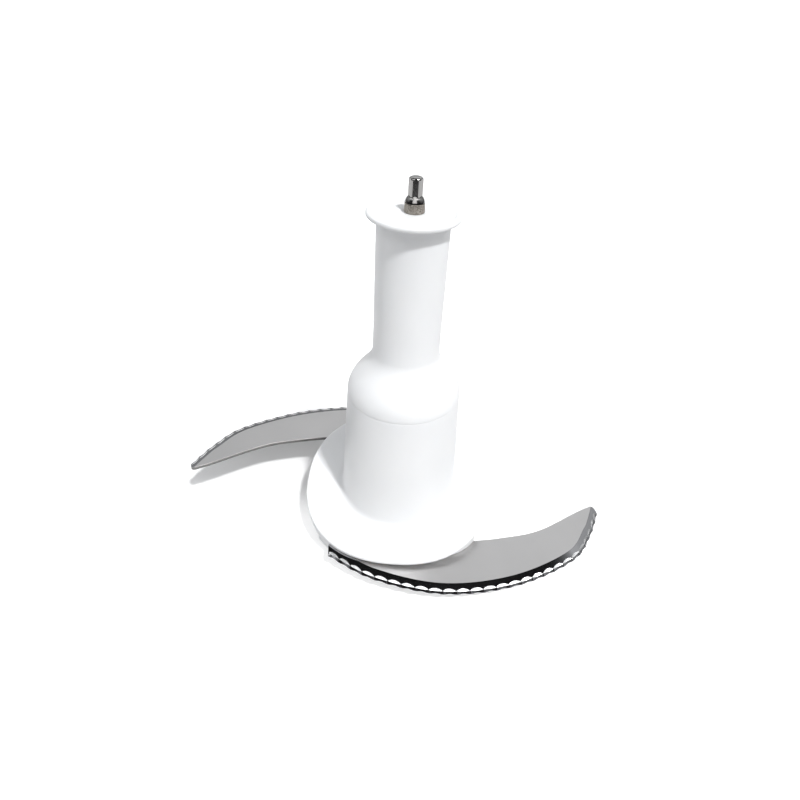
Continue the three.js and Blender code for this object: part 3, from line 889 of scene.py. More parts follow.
@dataclass
class HubMouldings:
    """The white mouldings: skirt with its tilted brim, neck, cap disc, blade carrier and cover."""

    finishes: Finishes
    plan: RoundedSquare
    brim_z: float = 15.5
    brim_thickness: float = 1.6
    brim_fillet: float = 3.0
    body_r_at_brim: float = 22.1
    body_wall: float = 2.2
    seam_rounding: float = 0.1
    seam_line: float = 0.03
    seam_gap: float = 0.3
    spigot_depth: float = 5.6
    shoulder_top_z: float = 77.0
    shoulder_top_r: float = 11.4
    neck_wall: float = 1.8
    plate_thickness: float = 3.2
    plate_draw: float = 0.1
    foot_bore_r: float = 16.5
    foot_r: float = 19.0
    ledge_r: float = 13.5
    ledge_z: float = 6.2
    ledge_thickness: float = 1.5
    disc_z: float = 123.65
    disc_overhang: float = 3.1
    washer_recess: float = 0.65
    cap_bore_r: float = 2.5
    cap_well_r: float = 5.6
    cap_well_depth: float = 3.7
    cover_bore_r: float = 7.0
    cover_step_r: float = 10.6
    cover_step: float = 0.8
    cover_dish: float = 0.3
    shoulder_steps: int = 48
    sides: int = 224
    seam_z: float = field(init=False)
    seam_r: float = field(init=False)
    brim_reach: float = field(init=False)
    plate_reach: float = field(init=False)

    def __post_init__(self) -> None:
        """Takes the sizes that the frame gives."""
        skirt_high = node_box("hub_skirt")[1]
        self.seam_z, self.brim_reach = float(skirt_high[2]), float(skirt_high[0])
        self.plate_reach = float(node_box("blade_carrier")[1, 0])
        self.seam_r = float(node_box("neck_shell")[1, 0])

    @property
    def brim_underside(self) -> float:
        """Height of the brim's underside on the axis."""
        return self.brim_z - self.brim_thickness

    @property
    def plate_top(self) -> float:
        """Height of the carrier plate's top on the axis."""
        return self.brim_underside - self.seam_gap

    @property
    def neck_r(self) -> float:
        """Radius of the neck under the disc."""
        return float(node_box("neck_cap")[1, 0]) - self.disc_overhang

    def skirt(self) -> bpy.types.Object:
        """Lower moulding: a hollow cone that flares through a fillet into the leaned brim.

        Returns:
            The piece.
        """
        inner = self.body_r_at_brim - self.body_wall
        taper = (self.body_r_at_brim - self.seam_r) / (self.seam_z - self.brim_z)
        corners = np.array([
            (inner, self.brim_underside, 0.4, 0, 1, 1),
            (self.brim_reach, self.brim_underside, 0.5, 1, 1, 0),
            (self.brim_reach, self.brim_z, 0.75, 1, 1, 0),
            (self.body_r_at_brim, self.brim_z, self.brim_fillet, 0, 1, 1),
            (self.seam_r, self.seam_z, self.seam_rounding, 0, 0, 0),
            (self.seam_r - self.body_wall, self.seam_z, 0.2, 0, 0, 0),
        ])
        rows = refine(round_corners(corners), 1.5)
        return turn_profile("hub_skirt_moulding", rows, self.sides, self.plan, taper)

    def neck(self) -> bpy.types.Object:
        """Upper moulding: spigot, rounded shoulder and neck.

        The shoulder is a cubic Bezier curve, upright at both ends: (1-t)^3 a + 3(1-t)^2 t b +
        3(1-t) t^2 c + t^3 d.

        Returns:
            The piece.
        """
        foot = self.seam_z + self.seam_line
        controls = np.array([
            (self.seam_r, foot + self.seam_rounding),
            (self.seam_r + 0.1, foot + 8.0),
            (self.shoulder_top_r + 0.8, self.shoulder_top_z - 5.7),
            (self.shoulder_top_r, self.shoulder_top_z),
        ])
        t = np.linspace(0.0, 1.0, self.shoulder_steps)[:, None]
        weights = np.hstack([(1 - t) ** 3, 3 * (1 - t) ** 2 * t, 3 * (1 - t) * t**2, t**3])
        shoulder = weights @ controls
        neck_r, neck_top = self.neck_r, float(node_box("neck_shell")[1, 2])
        spigot_r = self.seam_r - self.body_wall - self.seam_gap
        inside = shoulder[6:] - (self.body_wall, 1.0)
        profile = np.vstack([
            (spigot_r - 1.6, foot - self.spigot_depth),
            (spigot_r, foot - self.spigot_depth),
            (spigot_r, foot),
            (self.seam_r - self.seam_rounding, foot),
            (self.seam_r - 0.3 * self.seam_rounding, foot + 0.3 * self.seam_rounding),
            shoulder,
            (neck_r + 0.12, self.shoulder_top_z + 7.0),
            (neck_r, neck_top - 0.2),
            (neck_r - 0.2, neck_top),
            (neck_r - self.neck_wall, neck_top),
            (neck_r - self.neck_wall, self.shoulder_top_z + 1.0),
            inside[::-1],
            (spigot_r - 1.6, foot + 1.5),
        ])
        return turn_profile("neck_moulding", profile, self.sides)

    def cap(self) -> bpy.types.Object:
        """Disc with a low rounded bead at its edge, a washer recess, and a spigot in the neck.

        Returns:
            The piece.
        """
        low, high = node_box("neck_cap")
        underside = float(node_box("neck_shell")[1, 2]) + self.seam_gap
        spigot_r = self.neck_r - self.neck_wall - self.seam_gap
        recess_r = float(node_box("collar_washer")[1, 0]) + 0.05
        recess_z = self.disc_z - self.washer_recess
        bead = float(high[2])
        corners = np.array([
            (self.cap_bore_r, low[2] + self.cap_well_depth, 0.0),
            (self.cap_well_r, low[2] + self.cap_well_depth, 0.0),
            (self.cap_well_r, low[2], 0.2),
            (spigot_r, low[2], 0.4),
            (spigot_r, underside, 0.3),
            (high[0], underside, 0.7),
            (high[0], bead, 0.8),
            (high[0] - 1.5, bead, 0.7),
            (high[0] - 2.3, self.disc_z, 0.9),
            (recess_r, self.disc_z, 0.04),
            (recess_r, recess_z, 0.05),
            (self.cap_bore_r, recess_z, 0.05),
        ])
        return turn_profile("cap_disc", round_corners(corners), self.sides)

    def carrier(self) -> bpy.types.Object:
        """Second layer under the brim, with the foot ring and the ledge that holds the core.

        Its plan is drawn in where the blades come out, which leaves the brim overhanging them.

        Returns:
            The piece.
        """
        bottom = self.plate_top - self.plate_thickness
        ledge_top = self.ledge_z + self.ledge_thickness
        corners = np.array([
            (self.foot_bore_r, 0.0, 0.4, 0, 0, 0),
            (self.foot_r, 0.0, 0.7, 0, 0, 0),
            (self.foot_r, bottom, 1.0, 0, 1, 0),
            (self.plate_reach, bottom, 0.6, 1, 1, 0),
            (self.plate_reach, self.plate_top, 0.5, 1, 1, 0),
            (self.foot_bore_r, self.plate_top, 0.3, 0, 1, 0),
            (self.foot_bore_r, ledge_top, 0.2, 0, 0, 0),
            (self.ledge_r, ledge_top, 0.2, 0, 0, 0),
            (self.ledge_r, self.ledge_z, 0.2, 0, 0, 0),
            (self.foot_bore_r, self.ledge_z, 0.0, 0, 0, 0),
        ])
        rows = refine(round_corners(corners), 2.0)
        plan = replace(self.plan, draw=self.plate_draw)
        return turn_profile("blade_carrier_moulding", rows, self.sides, plan)

    def cover(self) -> bpy.types.Object:
        """Cover in the foot, with a shallow dish round the bush's mouth.

        Returns:
            The piece.
        """
        low, high = node_box("bottom_cover")
        dish, step = low[2] + self.cover_dish, high[2] - self.cover_step
        corners = np.array([
            (self.cover_bore_r, low[2], 0.3),
            (11.0, low[2], 0.3),
            (11.5, dish, 0.3),
            (14.8, dish, 0.3),
            (15.3, low[2], 0.3),
            (high[0], low[2], 0.4),
            (high[0], high[2], 0.2),
            (self.cover_step_r, high[2], 0.2),
            (self.cover_step_r, step, 0.1),
            (self.cover_bore_r, step, 0.2),
        ])
        return turn_profile("foot_cover", round_corners(corners), 160)

    def build(self) -> None:
        """Makes the mouldings in place of their plain nodes."""
        stands_for = {
            "hub_skirt": self.skirt(),
            "neck_shell": self.neck(),
            "neck_cap": self.cap(),
            "blade_carrier": self.carrier(),
            "bottom_cover": self.cover(),
        }
        for node, piece in stands_for.items():
            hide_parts(node)
            finish_piece(piece, Body.ROTOR, Slot.WHITE, self.finishes.white)


@dataclass(frozen=True)
class Side:
    """Where one blade lies: its node, its half turn, the plane of its top face, and its seat's back."""

    node: str
    turn: float
    top: float
    slope: float
    seat_back: float


LOWER = Side("lower_blade", turn=1.0, top=7.2, slope=-0.036, seat_back=-21.0)
UPPER = Side("upper_blade", turn=-1.0, top=17.7, slope=0.002, seat_back=-23.6)


class Facet(IntEnum):
    """Kinds of face on a blade, which are also the numbers of its materials."""

    FLAT = 0
    BEVEL = 1
    HOLLOW = 2
    BACK = 3


@dataclass
class Blade:
    """One serrated blade, with the pad above its root and the seat below it.

    It is worked out with its tip towards +X and its edge bulging towards -Y. The other blade is the
    same turned half round, so its x and y change sign.
    """

    finishes: Finishes
    hub: HubMouldings
    side: Side
    thickness: float = 1.4
    edge_thickness: float = 0.25
    bevel_width: float = 3.9
    serrations: int = 26
    steps_per_serration: int = 30
    hollow_floor: float = 1.08
    hollow_base: float = 1.14
    hollow_rise: float = 0.94
    flutes: int = 10
    flute_depth: float = 0.26
    tip_narrowing: float = 0.2
    bevel_room: float = 0.9
    hollow_slope: float = 0.2
    edge_wave: float = 0.36
    back_chamfer: float = 0.14
    edge_rows: int = 3
    hollow_rows: int = 8
    bevel_rows: int = 4
    flat_rows: int = 8
    back_rows: int = 3
    spline_steps: int = 64
    back_places: int = 160
    gap: float = 0.3
    pad_recess: float = 3.2
    pad_recess_at_back: float = 0.9
    pad_fade: float = 12.0
    pad_start: float = -23.0
    pad_end: float = 30.6
    pad_overlap: float = 0.4
    seat_reach: float = 28.6
    seat_clearance: float = 0.02
    seat_overlap: float = 0.9
    seat_depth: float = 2.0
    seat_least: float = 0.95
    strip_places: int = 72
    edge_points: tuple[Pair, ...] = (
        (-23.5, -33.3), (-6.0, -41.6), (19.4, -44.9), (46.0, -38.4),
        (69.0, -24.6), (78.4, -11.3), (83.6, 0.8),
    )
    back_points: tuple[Pair, ...] = (
        (82.9, 2.5), (82.2, 3.6), (81.0, 3.75), (79.4, 2.75),
        (76.0, 0.7), (57.0, -12.3), (40.8, -18.1), (29.5, -20.8),
    )
    root_points: tuple[Pair, ...] = ((22.0, -25.5), (-17.0, -25.5), (-23.9, -28.7))

    def spline(self, points: tuple[Pair, ...], count: int) -> np.ndarray:
        """Uniform Catmull-Rom curve through points, sampled evenly along its length.

        Between p1 and p2 it is p1 + t (p2-p0)/2 + t^2 (2p0-5p1+4p2-p3)/2 + t^3 (3p1-p0-3p2+p3)/2, and
        the end points count twice.

        Args:
            points: the points that it passes through.
            count: how many samples to take.

        Returns:
            The samples, count by 2.
        """
        through = np.array(points)
        padded = np.vstack([through[:1], through, through[-1:]])
        t = np.linspace(0.0, 1.0, self.spline_steps + 1)[None, :, None]
        p0, p1, p2, p3 = (padded[k : len(points) - 1 + k, None] for k in range(4))
        square, cube = 2 * p0 - 5 * p1 + 4 * p2 - p3, 3 * p1 - p0 - 3 * p2 + p3
        curve = p1 + 0.5 * t * ((p2 - p0) + t * (square + t * cube))
        return self.even(curve.reshape(-1, 2), count)

    @staticmethod
    def even(line: np.ndarray, count: int) -> np.ndarray:
        """Points at even distances along a line of straight steps.

        Args:
            line: the ends of the steps, n by 2.
            count: how many points to take.

        Returns:
            The points, count by 2.
        """
        steps = np.linalg.norm(np.diff(line, axis=0), axis=1)
        travelled = np.concatenate([[0.0], np.cumsum(steps)])
        wanted = np.linspace(0.0, travelled[-1], count)
        return np.stack([np.interp(wanted, travelled, line[:, k]) for k in range(2)], axis=-1)

    def place(self, x: np.ndarray, y: np.ndarray, z: np.ndarray) -> np.ndarray:
        """Puts plan coordinates and a height above the blade's underside into the frame."""
        height = z + self.side.top - self.thickness + self.side.slope * x
        return np.stack([self.side.turn * x, self.side.turn * y, height], axis=-1)

    def bevel_height(self, distance: np.ndarray) -> np.ndarray:
        """Height of the ground bevel at a distance from the edge."""
        rise = (self.thickness - self.edge_thickness) / self.bevel_width
        return self.edge_thickness + rise * distance

    def section_distances(self, phase: np.ndarray) -> tuple[np.ndarray, np.ndarray]:
        """Places of the bevel's rows at each point along the edge.

        phase runs from -1/2 to 1/2 across one serration. A hollow reaches base + rise * (1 - (2
        phase)^2)^0.8 in from the edge, less flute_depth * sin^2(pi flutes phase). Inside it the face
        drops by hollow_slope times the distance left to its rim, down to its floor, from where it runs
        on parallel to the bevel. The edge wanders in by edge_wave * cos^2(pi phase).

        Args:
            phase: one value for each place along the edge.

        Returns:
            Distances from the edge and drops below the bevel, places by rows.
        """
        arch = self.hollow_base + self.hollow_rise * np.clip(1.0 - (2.0 * phase) ** 2, 0.0, 1.0) ** 0.8
        flutes = self.flute_depth * np.sin(math.pi * self.flutes * phase) ** 2
        arch = arch - flutes * (arch > self.hollow_base)
        edge = self.edge_wave * np.cos(math.pi * phase) ** 2
        floor = np.minimum(self.hollow_floor, arch - 0.02)
        ends = np.stack([edge, floor, arch, np.full(len(phase), self.bevel_width)])
        distance = np.hstack([
            ends[k][:, None] + (ends[k + 1] - ends[k])[:, None] * np.arange(steps)[None] / steps
            for k, steps in enumerate((self.edge_rows, self.hollow_rows, self.bevel_rows))
        ])
        distance = np.hstack([distance, ends[3][:, None]])
        drop = self.hollow_slope * np.clip(arch[:, None] - np.maximum(distance, floor[:, None]), 0.0, None)
        return distance, drop

    def steel(self) -> bpy.types.Object:
        """The blade: sections across it, from the cutting edge over the top to the back and home below.

        Each section runs from a point of the edge to the point at the same share of the back's length.
        Distances are measured square to the edge, so they are divided by the cosine between the
        section and the edge's normal. The bevel narrows by tip_narrowing * u^5 towards the tip. Where
        a section is too short for the whole bevel, the bevel is drawn in to fit and its top stays lower
        by its slope.

        Returns:
            The piece.
        """
        count = self.serrations * self.steps_per_serration + 1
        edge = self.spline(self.edge_points, count)
        back_line = np.vstack([self.spline(self.back_points, self.back_places), self.root_points])
        back = self.even(back_line[::-1], count)
        tangent = unit(np.gradient(edge, axis=0))
        normal = np.stack([-tangent[:, 1], tangent[:, 0]], axis=-1)
        across = back - edge
        length = np.linalg.norm(across, axis=1)
        across /= length[:, None]
        cosine = np.sum(across * normal, axis=1)
        phase = (np.arange(count) / self.steps_per_serration) % 1.0 - 0.5
        distance, drop = self.section_distances(phase)
        narrowing = 1.0 - self.tip_narrowing * np.linspace(0.0, 1.0, count) ** 5
        fit = np.minimum(narrowing, self.bevel_room * length * cosine / self.bevel_width)[:, None]
        height = self.bevel_height(distance * np.minimum(1.0, fit / narrowing[:, None])) - drop * fit
        distance = distance * fit
        crown = height[:, -1:]
        reach = distance / cosine[:, None]
        bevel_end = reach[:, -1:]
        flat_end = (length - self.back_chamfer)[:, None]
        flat = bevel_end + (flat_end - bevel_end) * np.linspace(0.0, 1.0, self.flat_rows + 1)[None, 1:]
        ones = np.ones((count, 1))
        below = np.hstack([flat_end * ones, 0.5 * (reach[:, :1] + flat_end), reach[:, :1]])
        run = np.hstack([reach, flat, length[:, None] * ones, length[:, None] * ones, below])
        rise = np.hstack([
            height,
            crown * np.ones(flat.shape),
            crown - self.back_chamfer,
            self.back_chamfer * ones,
            np.zeros((count, 3)),
        ])
        x = edge[:, :1] + across[:, :1] * run
        y = edge[:, 1:] + across[:, 1:] * run
        piece = sweep_sections(f"{self.side.node}_steel", self.place(x, y, rise), GRIND_ANGLE)
        self.paint(piece, run.shape[1], count)
        self.map_plan(piece, run, float(np.sum(np.linalg.norm(np.diff(edge, axis=0), axis=1))))
        return piece

    def paint(self, piece: bpy.types.Object, rows: int, count: int) -> None:
        """Gives each face the number of its material, which is its kind.

        Args:
            piece: the blade.
            rows: how many points a section has.
            count: how many sections there are.
        """
        ground = self.edge_rows + self.hollow_rows + self.bevel_rows
        back = ground + self.flat_rows
        kind = np.full(rows, Facet.FLAT.value)
        kind[:ground] = Facet.BEVEL
        kind[self.edge_rows : self.edge_rows + self.hollow_rows] = Facet.HOLLOW
        kind[back : back + self.back_rows] = Facet.BACK
        kind[-1] = Facet.BEVEL
        numbers = np.concatenate([np.tile(kind, count - 1), np.full(2, Facet.FLAT.value)])
        piece.data.polygons.foreach_set("material_index", numbers.astype(np.int32))

    def map_plan(self, piece: bpy.types.Object, run: np.ndarray, total: float) -> None:
        """UV map in metres: distance along the edge, and distance across the blade.

        Args:
            piece: the blade.
            run: distance of each point from the edge, sections by points.
            total: length of the edge.
        """
        along = np.repeat(np.linspace(0.0, total, len(run))[:, None], run.shape[1], axis=1)
        places = np.stack([along, run], axis=-1).reshape(-1, 2) * MM
        corners = np.empty(len(piece.data.loops), np.int32)
        piece.data.loops.foreach_get("vertex_index", corners)
        layer = piece.data.uv_layers.new(name="plan")
        layer.data.foreach_set("uv", places[corners].astype(np.float32).ravel())

    def leaned(self, height: float, y: np.ndarray) -> np.ndarray:
        """Height of a plane that leans with the brim, at a plan distance y."""
        return height + self.hub.plan.slope * self.side.turn * y

    def strip(
        self, name: str, x: np.ndarray, y: tuple[np.ndarray, ...], z: tuple[np.ndarray, ...],
        rounding: float,
    ) -> bpy.types.Object:
        """A bar along X whose section changes with x.

        Args:
            name: the piece's name.
            x: places along it.
            y: outer and inner edge at each place.
            z: for each of the corners outer-low, inner-low, inner-high, outer-high, its height.
            rounding: radius of the corners, as chamfer steps along both sides.

        Returns:
            The piece.
        """
        corners = np.stack([
            np.stack([y[0], z[0]], -1), np.stack([y[1], z[1]], -1),
            np.stack([y[1], z[2]], -1), np.stack([y[0], z[3]], -1),
        ], axis=1)
        ahead = unit(np.roll(corners, -1, axis=1) - corners)
        behind = unit(np.roll(corners, 1, axis=1) - corners)
        softened = np.stack([
            corners + rounding * behind,
            corners + 0.3 * rounding * (behind + ahead),
            corners + rounding * ahead,
        ], axis=2).reshape(len(x), -1, 2)
        turn = self.side.turn
        wide = np.repeat(x[:, None], softened.shape[1], axis=1)
        sections = np.stack([turn * wide, turn * softened[..., 0], softened[..., 1]], axis=-1)
        return sweep_sections(name, sections)

    def pad(self) -> bpy.types.Object:
        """Part of the skirt that fills the space between the blade's root and the brim.

        Its wall stands back from the brim's rim by pad_recess, and by less and less past the middle,
        s = 3t^2 - 2t^3 of the way to pad_recess_at_back at its end.

        Returns:
            The piece.
        """
        hub = self.hub
        x = np.linspace(self.pad_start, self.pad_end, self.strip_places)
        share = smooth_step(np.clip((x - self.pad_fade) / (self.pad_end - self.pad_fade), 0.0, 1.0))
        recess = self.pad_recess + (self.pad_recess_at_back - self.pad_recess) * share
        outer = -(hub.plan.half_width(x, hub.brim_reach) - recess)
        back_x, back_y = np.array([*self.root_points[::-1], *self.back_points[:-3:-1]]).T
        inner = np.interp(x, back_x, back_y)
        low = self.side.top + self.gap + self.side.slope * x
        roof = hub.brim_underside + self.pad_overlap
        heights = (low, low, self.leaned(roof, inner), self.leaned(roof, outer))
        return self.strip(f"{self.side.node}_pad", x, (outer, inner), heights, 0.15)

    def seat(self) -> bpy.types.Object:
        """Part of the carrier under the blade's root, rounded at its lower edge.

        Returns:
            The piece.
        """
        hub = self.hub
        x = np.linspace(-self.seat_reach, self.seat_reach, self.strip_places)
        outer = -hub.plan.half_width(x, hub.plate_reach - self.seat_clearance)
        inner = np.full(len(x), self.side.seat_back)
        ceiling = self.side.top - self.thickness - self.gap + self.side.slope * x
        low = ceiling - self.seat_depth
        base = hub.plate_top - hub.plate_thickness + self.seat_overlap
        top_in, top_out = (np.minimum(self.leaned(base, y), ceiling) for y in (inner, outer))
        heights = (low, np.minimum(low, top_in - self.seat_least), top_in, top_out)
        return self.strip(f"{self.side.node}_seat", x, (outer, inner), heights, 0.4)

    def build(self) -> None:
        """Makes the blade and the mouldings that hold its root."""
        steel = self.steel()
        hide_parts(self.side.node)
        made = self.finishes
        # The back wall takes the darkened steel, which is painted shade.
        dress = {
            Facet.FLAT: made.satin, Facet.BEVEL: made.bevel,
            Facet.HOLLOW: made.hollow, Facet.BACK: made.sheared_and_painted_shade,
        }
        finish_piece(steel, Body.ROTOR, Slot.BLADE, *(dress[facet] for facet in Facet))
        for piece in (self.pad(), self.seat()):
            finish_piece(piece, Body.ROTOR, Slot.WHITE, made.white)


@dataclass
class DriveHead:
    """The spindle with its cone and flatted tip, and the collar that runs on it."""

    finishes: Finishes
    stem_r: float = 2.2
    cone_height: float = 1.6
    tip_r: float = 2.12
    flat_reach: float = 1.97
    flats: int = 6
    chamfer: float = 0.5
    collar_top_r: float = 2.95
    pole_r: float = 0.001
    sides: int = 192

    def spindle(self) -> bpy.types.Object:
        """Stem, cone and tip in one sweep along the axis.

        The cone draws in by half of h plus half of h squared, where h is the share of its height.
        A row's radius is the smaller of its turned radius and flat_reach / cos(angle to the nearest
        flat), where the row has flats.

        Returns:
            The piece.
        """
        low, high = node_box("spindle")
        cone_z = float(node_box("bearing_collar")[1, 2]) + 0.15
        cone_top = cone_z + self.cone_height
        swell = np.linspace(0.0, 1.0, 9)
        cone_r = high[0] - (high[0] - self.tip_r - 0.05) * 0.5 * (swell + swell**2)
        rows = np.vstack([
            (self.pole_r, low[2], 0), (self.stem_r - 0.3, low[2], 0), (self.stem_r, low[2] + 0.3, 0),
            (self.stem_r, cone_z, 0), (high[0] - 0.12, cone_z, 0),
            np.stack([cone_r, cone_z + 0.1 + (self.cone_height - 0.1) * swell, 0 * swell], axis=-1),
            (self.tip_r, cone_top + 0.12, 0),
            (self.tip_r, cone_top + 0.3, 1),
            (self.tip_r, cone_top + 0.5, 1),
            (self.tip_r, high[2] - self.chamfer - 0.15, 1),
            (self.tip_r, high[2] - self.chamfer, 1),
            (self.tip_r - 0.16, high[2] - 0.55 * self.chamfer, 1),
            (self.tip_r - 0.42, high[2] - 0.1 * self.chamfer, 1),
            (self.tip_r - 0.6, high[2], 1), (self.pole_r, high[2], 1),
        ])
        step = 2.0 * math.pi / self.flats
        off_flat = (angles_round(self.sides) + 0.5 * math.pi + 0.5 * step) % step - 0.5 * step
        flat = self.flat_reach / np.cos(off_flat)
        turned = np.repeat(rows[:, :1], self.sides, axis=1)
        radius = np.where(rows[:, 2:] > 0.5, np.minimum(turned, flat[None]), turned)
        height = np.repeat(rows[:, 1:2], self.sides, axis=1)
        return sweep_sections("drive_spindle", turned_points(radius, height))

    def collar(self) -> bpy.types.Object:
        """Ring that runs on the spindle, a little wider at its foot.

        Returns:
            The piece.
        """
        low, high = node_box("bearing_collar")
        bore = self.stem_r + 0.05
        corners = np.array([
            (bore, low[2], 0.1), (high[0], low[2], 0.12),
            (high[0] - 0.03, low[2] + 0.45, 0.2), (self.collar_top_r, high[2], 0.16), (bore, high[2], 0.1),
        ])
        return turn_profile("running_collar", round_corners(corners), 128)

    def build(self) -> None:
        """Makes the spindle, the collar and the washer."""
        spindle, collar = self.spindle(), self.collar()
        low, high = node_box("collar_washer")
        washer = plain_ring("collar_washer_ring", self.stem_r + 0.15, high[0], low[2], high[2], 0.04)
        for piece, node in ((spindle, "spindle"), (collar, "bearing_collar"), (washer, "collar_washer")):
            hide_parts(node)
        finish_piece(spindle, Body.ROTOR, Slot.POLISHED, self.finishes.polished)
        finish_piece(collar, Body.COLLAR, Slot.SINTERED, self.finishes.sintered)
        finish_piece(washer, Body.ROTOR, Slot.WHITE, self.finishes.white)


@dataclass
class PivotBearing:
    """The bush that stays on the bowl's pin, with a thrust washer on each side of its flange."""

    finishes: Finishes
    bore_r: float = 4.05
    barrel_r: float = 6.0
    flange_z: float = 2.4
    flange_thickness: float = 1.0

    def bush(self) -> bpy.types.Object:
        """Flanged bush with chamfered mouths.

        Returns:
            The piece.
        """
        low, high = node_box("pivot_bush")
        flange_top = self.flange_z + self.flange_thickness
        corners = np.array([
            (self.bore_r, low[2] + 0.5, 0.1),
            (self.bore_r + 0.5, low[2], 0.1),
            (self.barrel_r, low[2], 0.3),
            (self.barrel_r, self.flange_z, 0.1),
            (high[0], self.flange_z, 0.15),
            (high[0], flange_top, 0.15),
            (self.barrel_r, flange_top, 0.1),
            (self.barrel_r, high[2], 0.3),
            (self.bore_r, high[2], 0.3),
        ])
        return turn_profile("flanged_bush", round_corners(corners), 144)

    def build(self) -> None:
        """Makes the bush and both washers."""
        bush = self.bush()
        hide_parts("pivot_bush")
        finish_piece(bush, Body.PIVOT, Slot.SINTERED, self.finishes.sintered)
        for place in ("upper", "lower"):
            node = f"thrust_washer_{place}"
            low, high = node_box(node)
            washer = plain_ring(f"{node}_ring", self.barrel_r + 0.15, high[0], low[2], high[2], 0.1)
            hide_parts(node)
            finish_piece(washer, Body.PIVOT, Slot.GREY, self.finishes.grey)


@dataclass
class InnerParts:
    """Pieces inside the hub that keep their CAD shape and get a finish of their own."""

    finishes: Finishes

    def build(self) -> None:
        """Dresses each node."""
        made = self.finishes
        dress = {
            made.grey: ("socket_core",),
            made.rubber: ("foot_seal", "spindle_seal"),
            made.polished: ("drive_insert", "spindle_clip", *(
                f"{blade}_pin_{i}" for blade in ("lower_blade", "upper_blade") for i in (1, 2)
            )),
        }
        for material, nodes in dress.items():
            for node in nodes:
                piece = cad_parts[node]
                piece.data.materials.clear()
                piece.data.materials.append(material)
                LOG.info("%s: dressed in %s", node, material.name)


# ---------------------------------------------------------------------------
# Studio
# ---------------------------------------------------------------------------


def stage_sheet(name: str, points: np.ndarray, shader: Shader) -> bpy.types.Object:
    """Open sheet that belongs to the studio.

    Args:
        name: its name.
        points: rows by columns by 3, in metres; its front is where columns go right as rows go up.
        shader: its material.

    Returns:
        The sheet.
    """
    rows, columns = points.shape[:2]
    i, j = np.meshgrid(np.arange(rows - 1), np.arange(columns - 1), indexing="ij")
    first = (i * columns + j).ravel()
    faces = np.stack([first, first + 1, first + columns + 1, first + columns], axis=-1)
    mesh = bpy.data.meshes.new(name)
    mesh.from_pydata(points.reshape(-1, 3), [], faces.tolist())
    mesh.materials.append(shader.material)
    sheet = put_in_scene(name, mesh)
    return sheet


@dataclass(frozen=True)
class Card:
    """Card that only reflections see: part of an upright cylinder on the viewer's side of the knife.

    It reaches half_angle degrees round to each side, from height low to high, with a light of its own
    that is 0 for a black card.
    """

    name: str
    reach: float
    half_angle: float
    low: float
    high: float
    glow: float
    columns: int = 48

    def build(self) -> None:
        """Hangs the card."""
        turn = np.radians(np.linspace(-90.0 - self.half_angle, -90.0 + self.half_angle, self.columns))
        rim = self.reach * np.stack([np.cos(turn), np.sin(turn)], axis=-1)
        points = np.stack([np.insert(rim, 2, height, axis=1) for height in (self.low, self.high)])
        shader = Shader(f"{self.name}_face", 0.9, 0.0)
        shader.feed(
            shader.bsdf, Base_Color=(0.01, 0.01, 0.01, 1.0), Emission_Color=(1.0, 1.0, 1.0, 1.0),
            Emission_Strength=self.glow,
        )
        card = stage_sheet(self.name, points, shader)
        card.visible_camera = card.visible_diffuse = card.visible_shadow = False


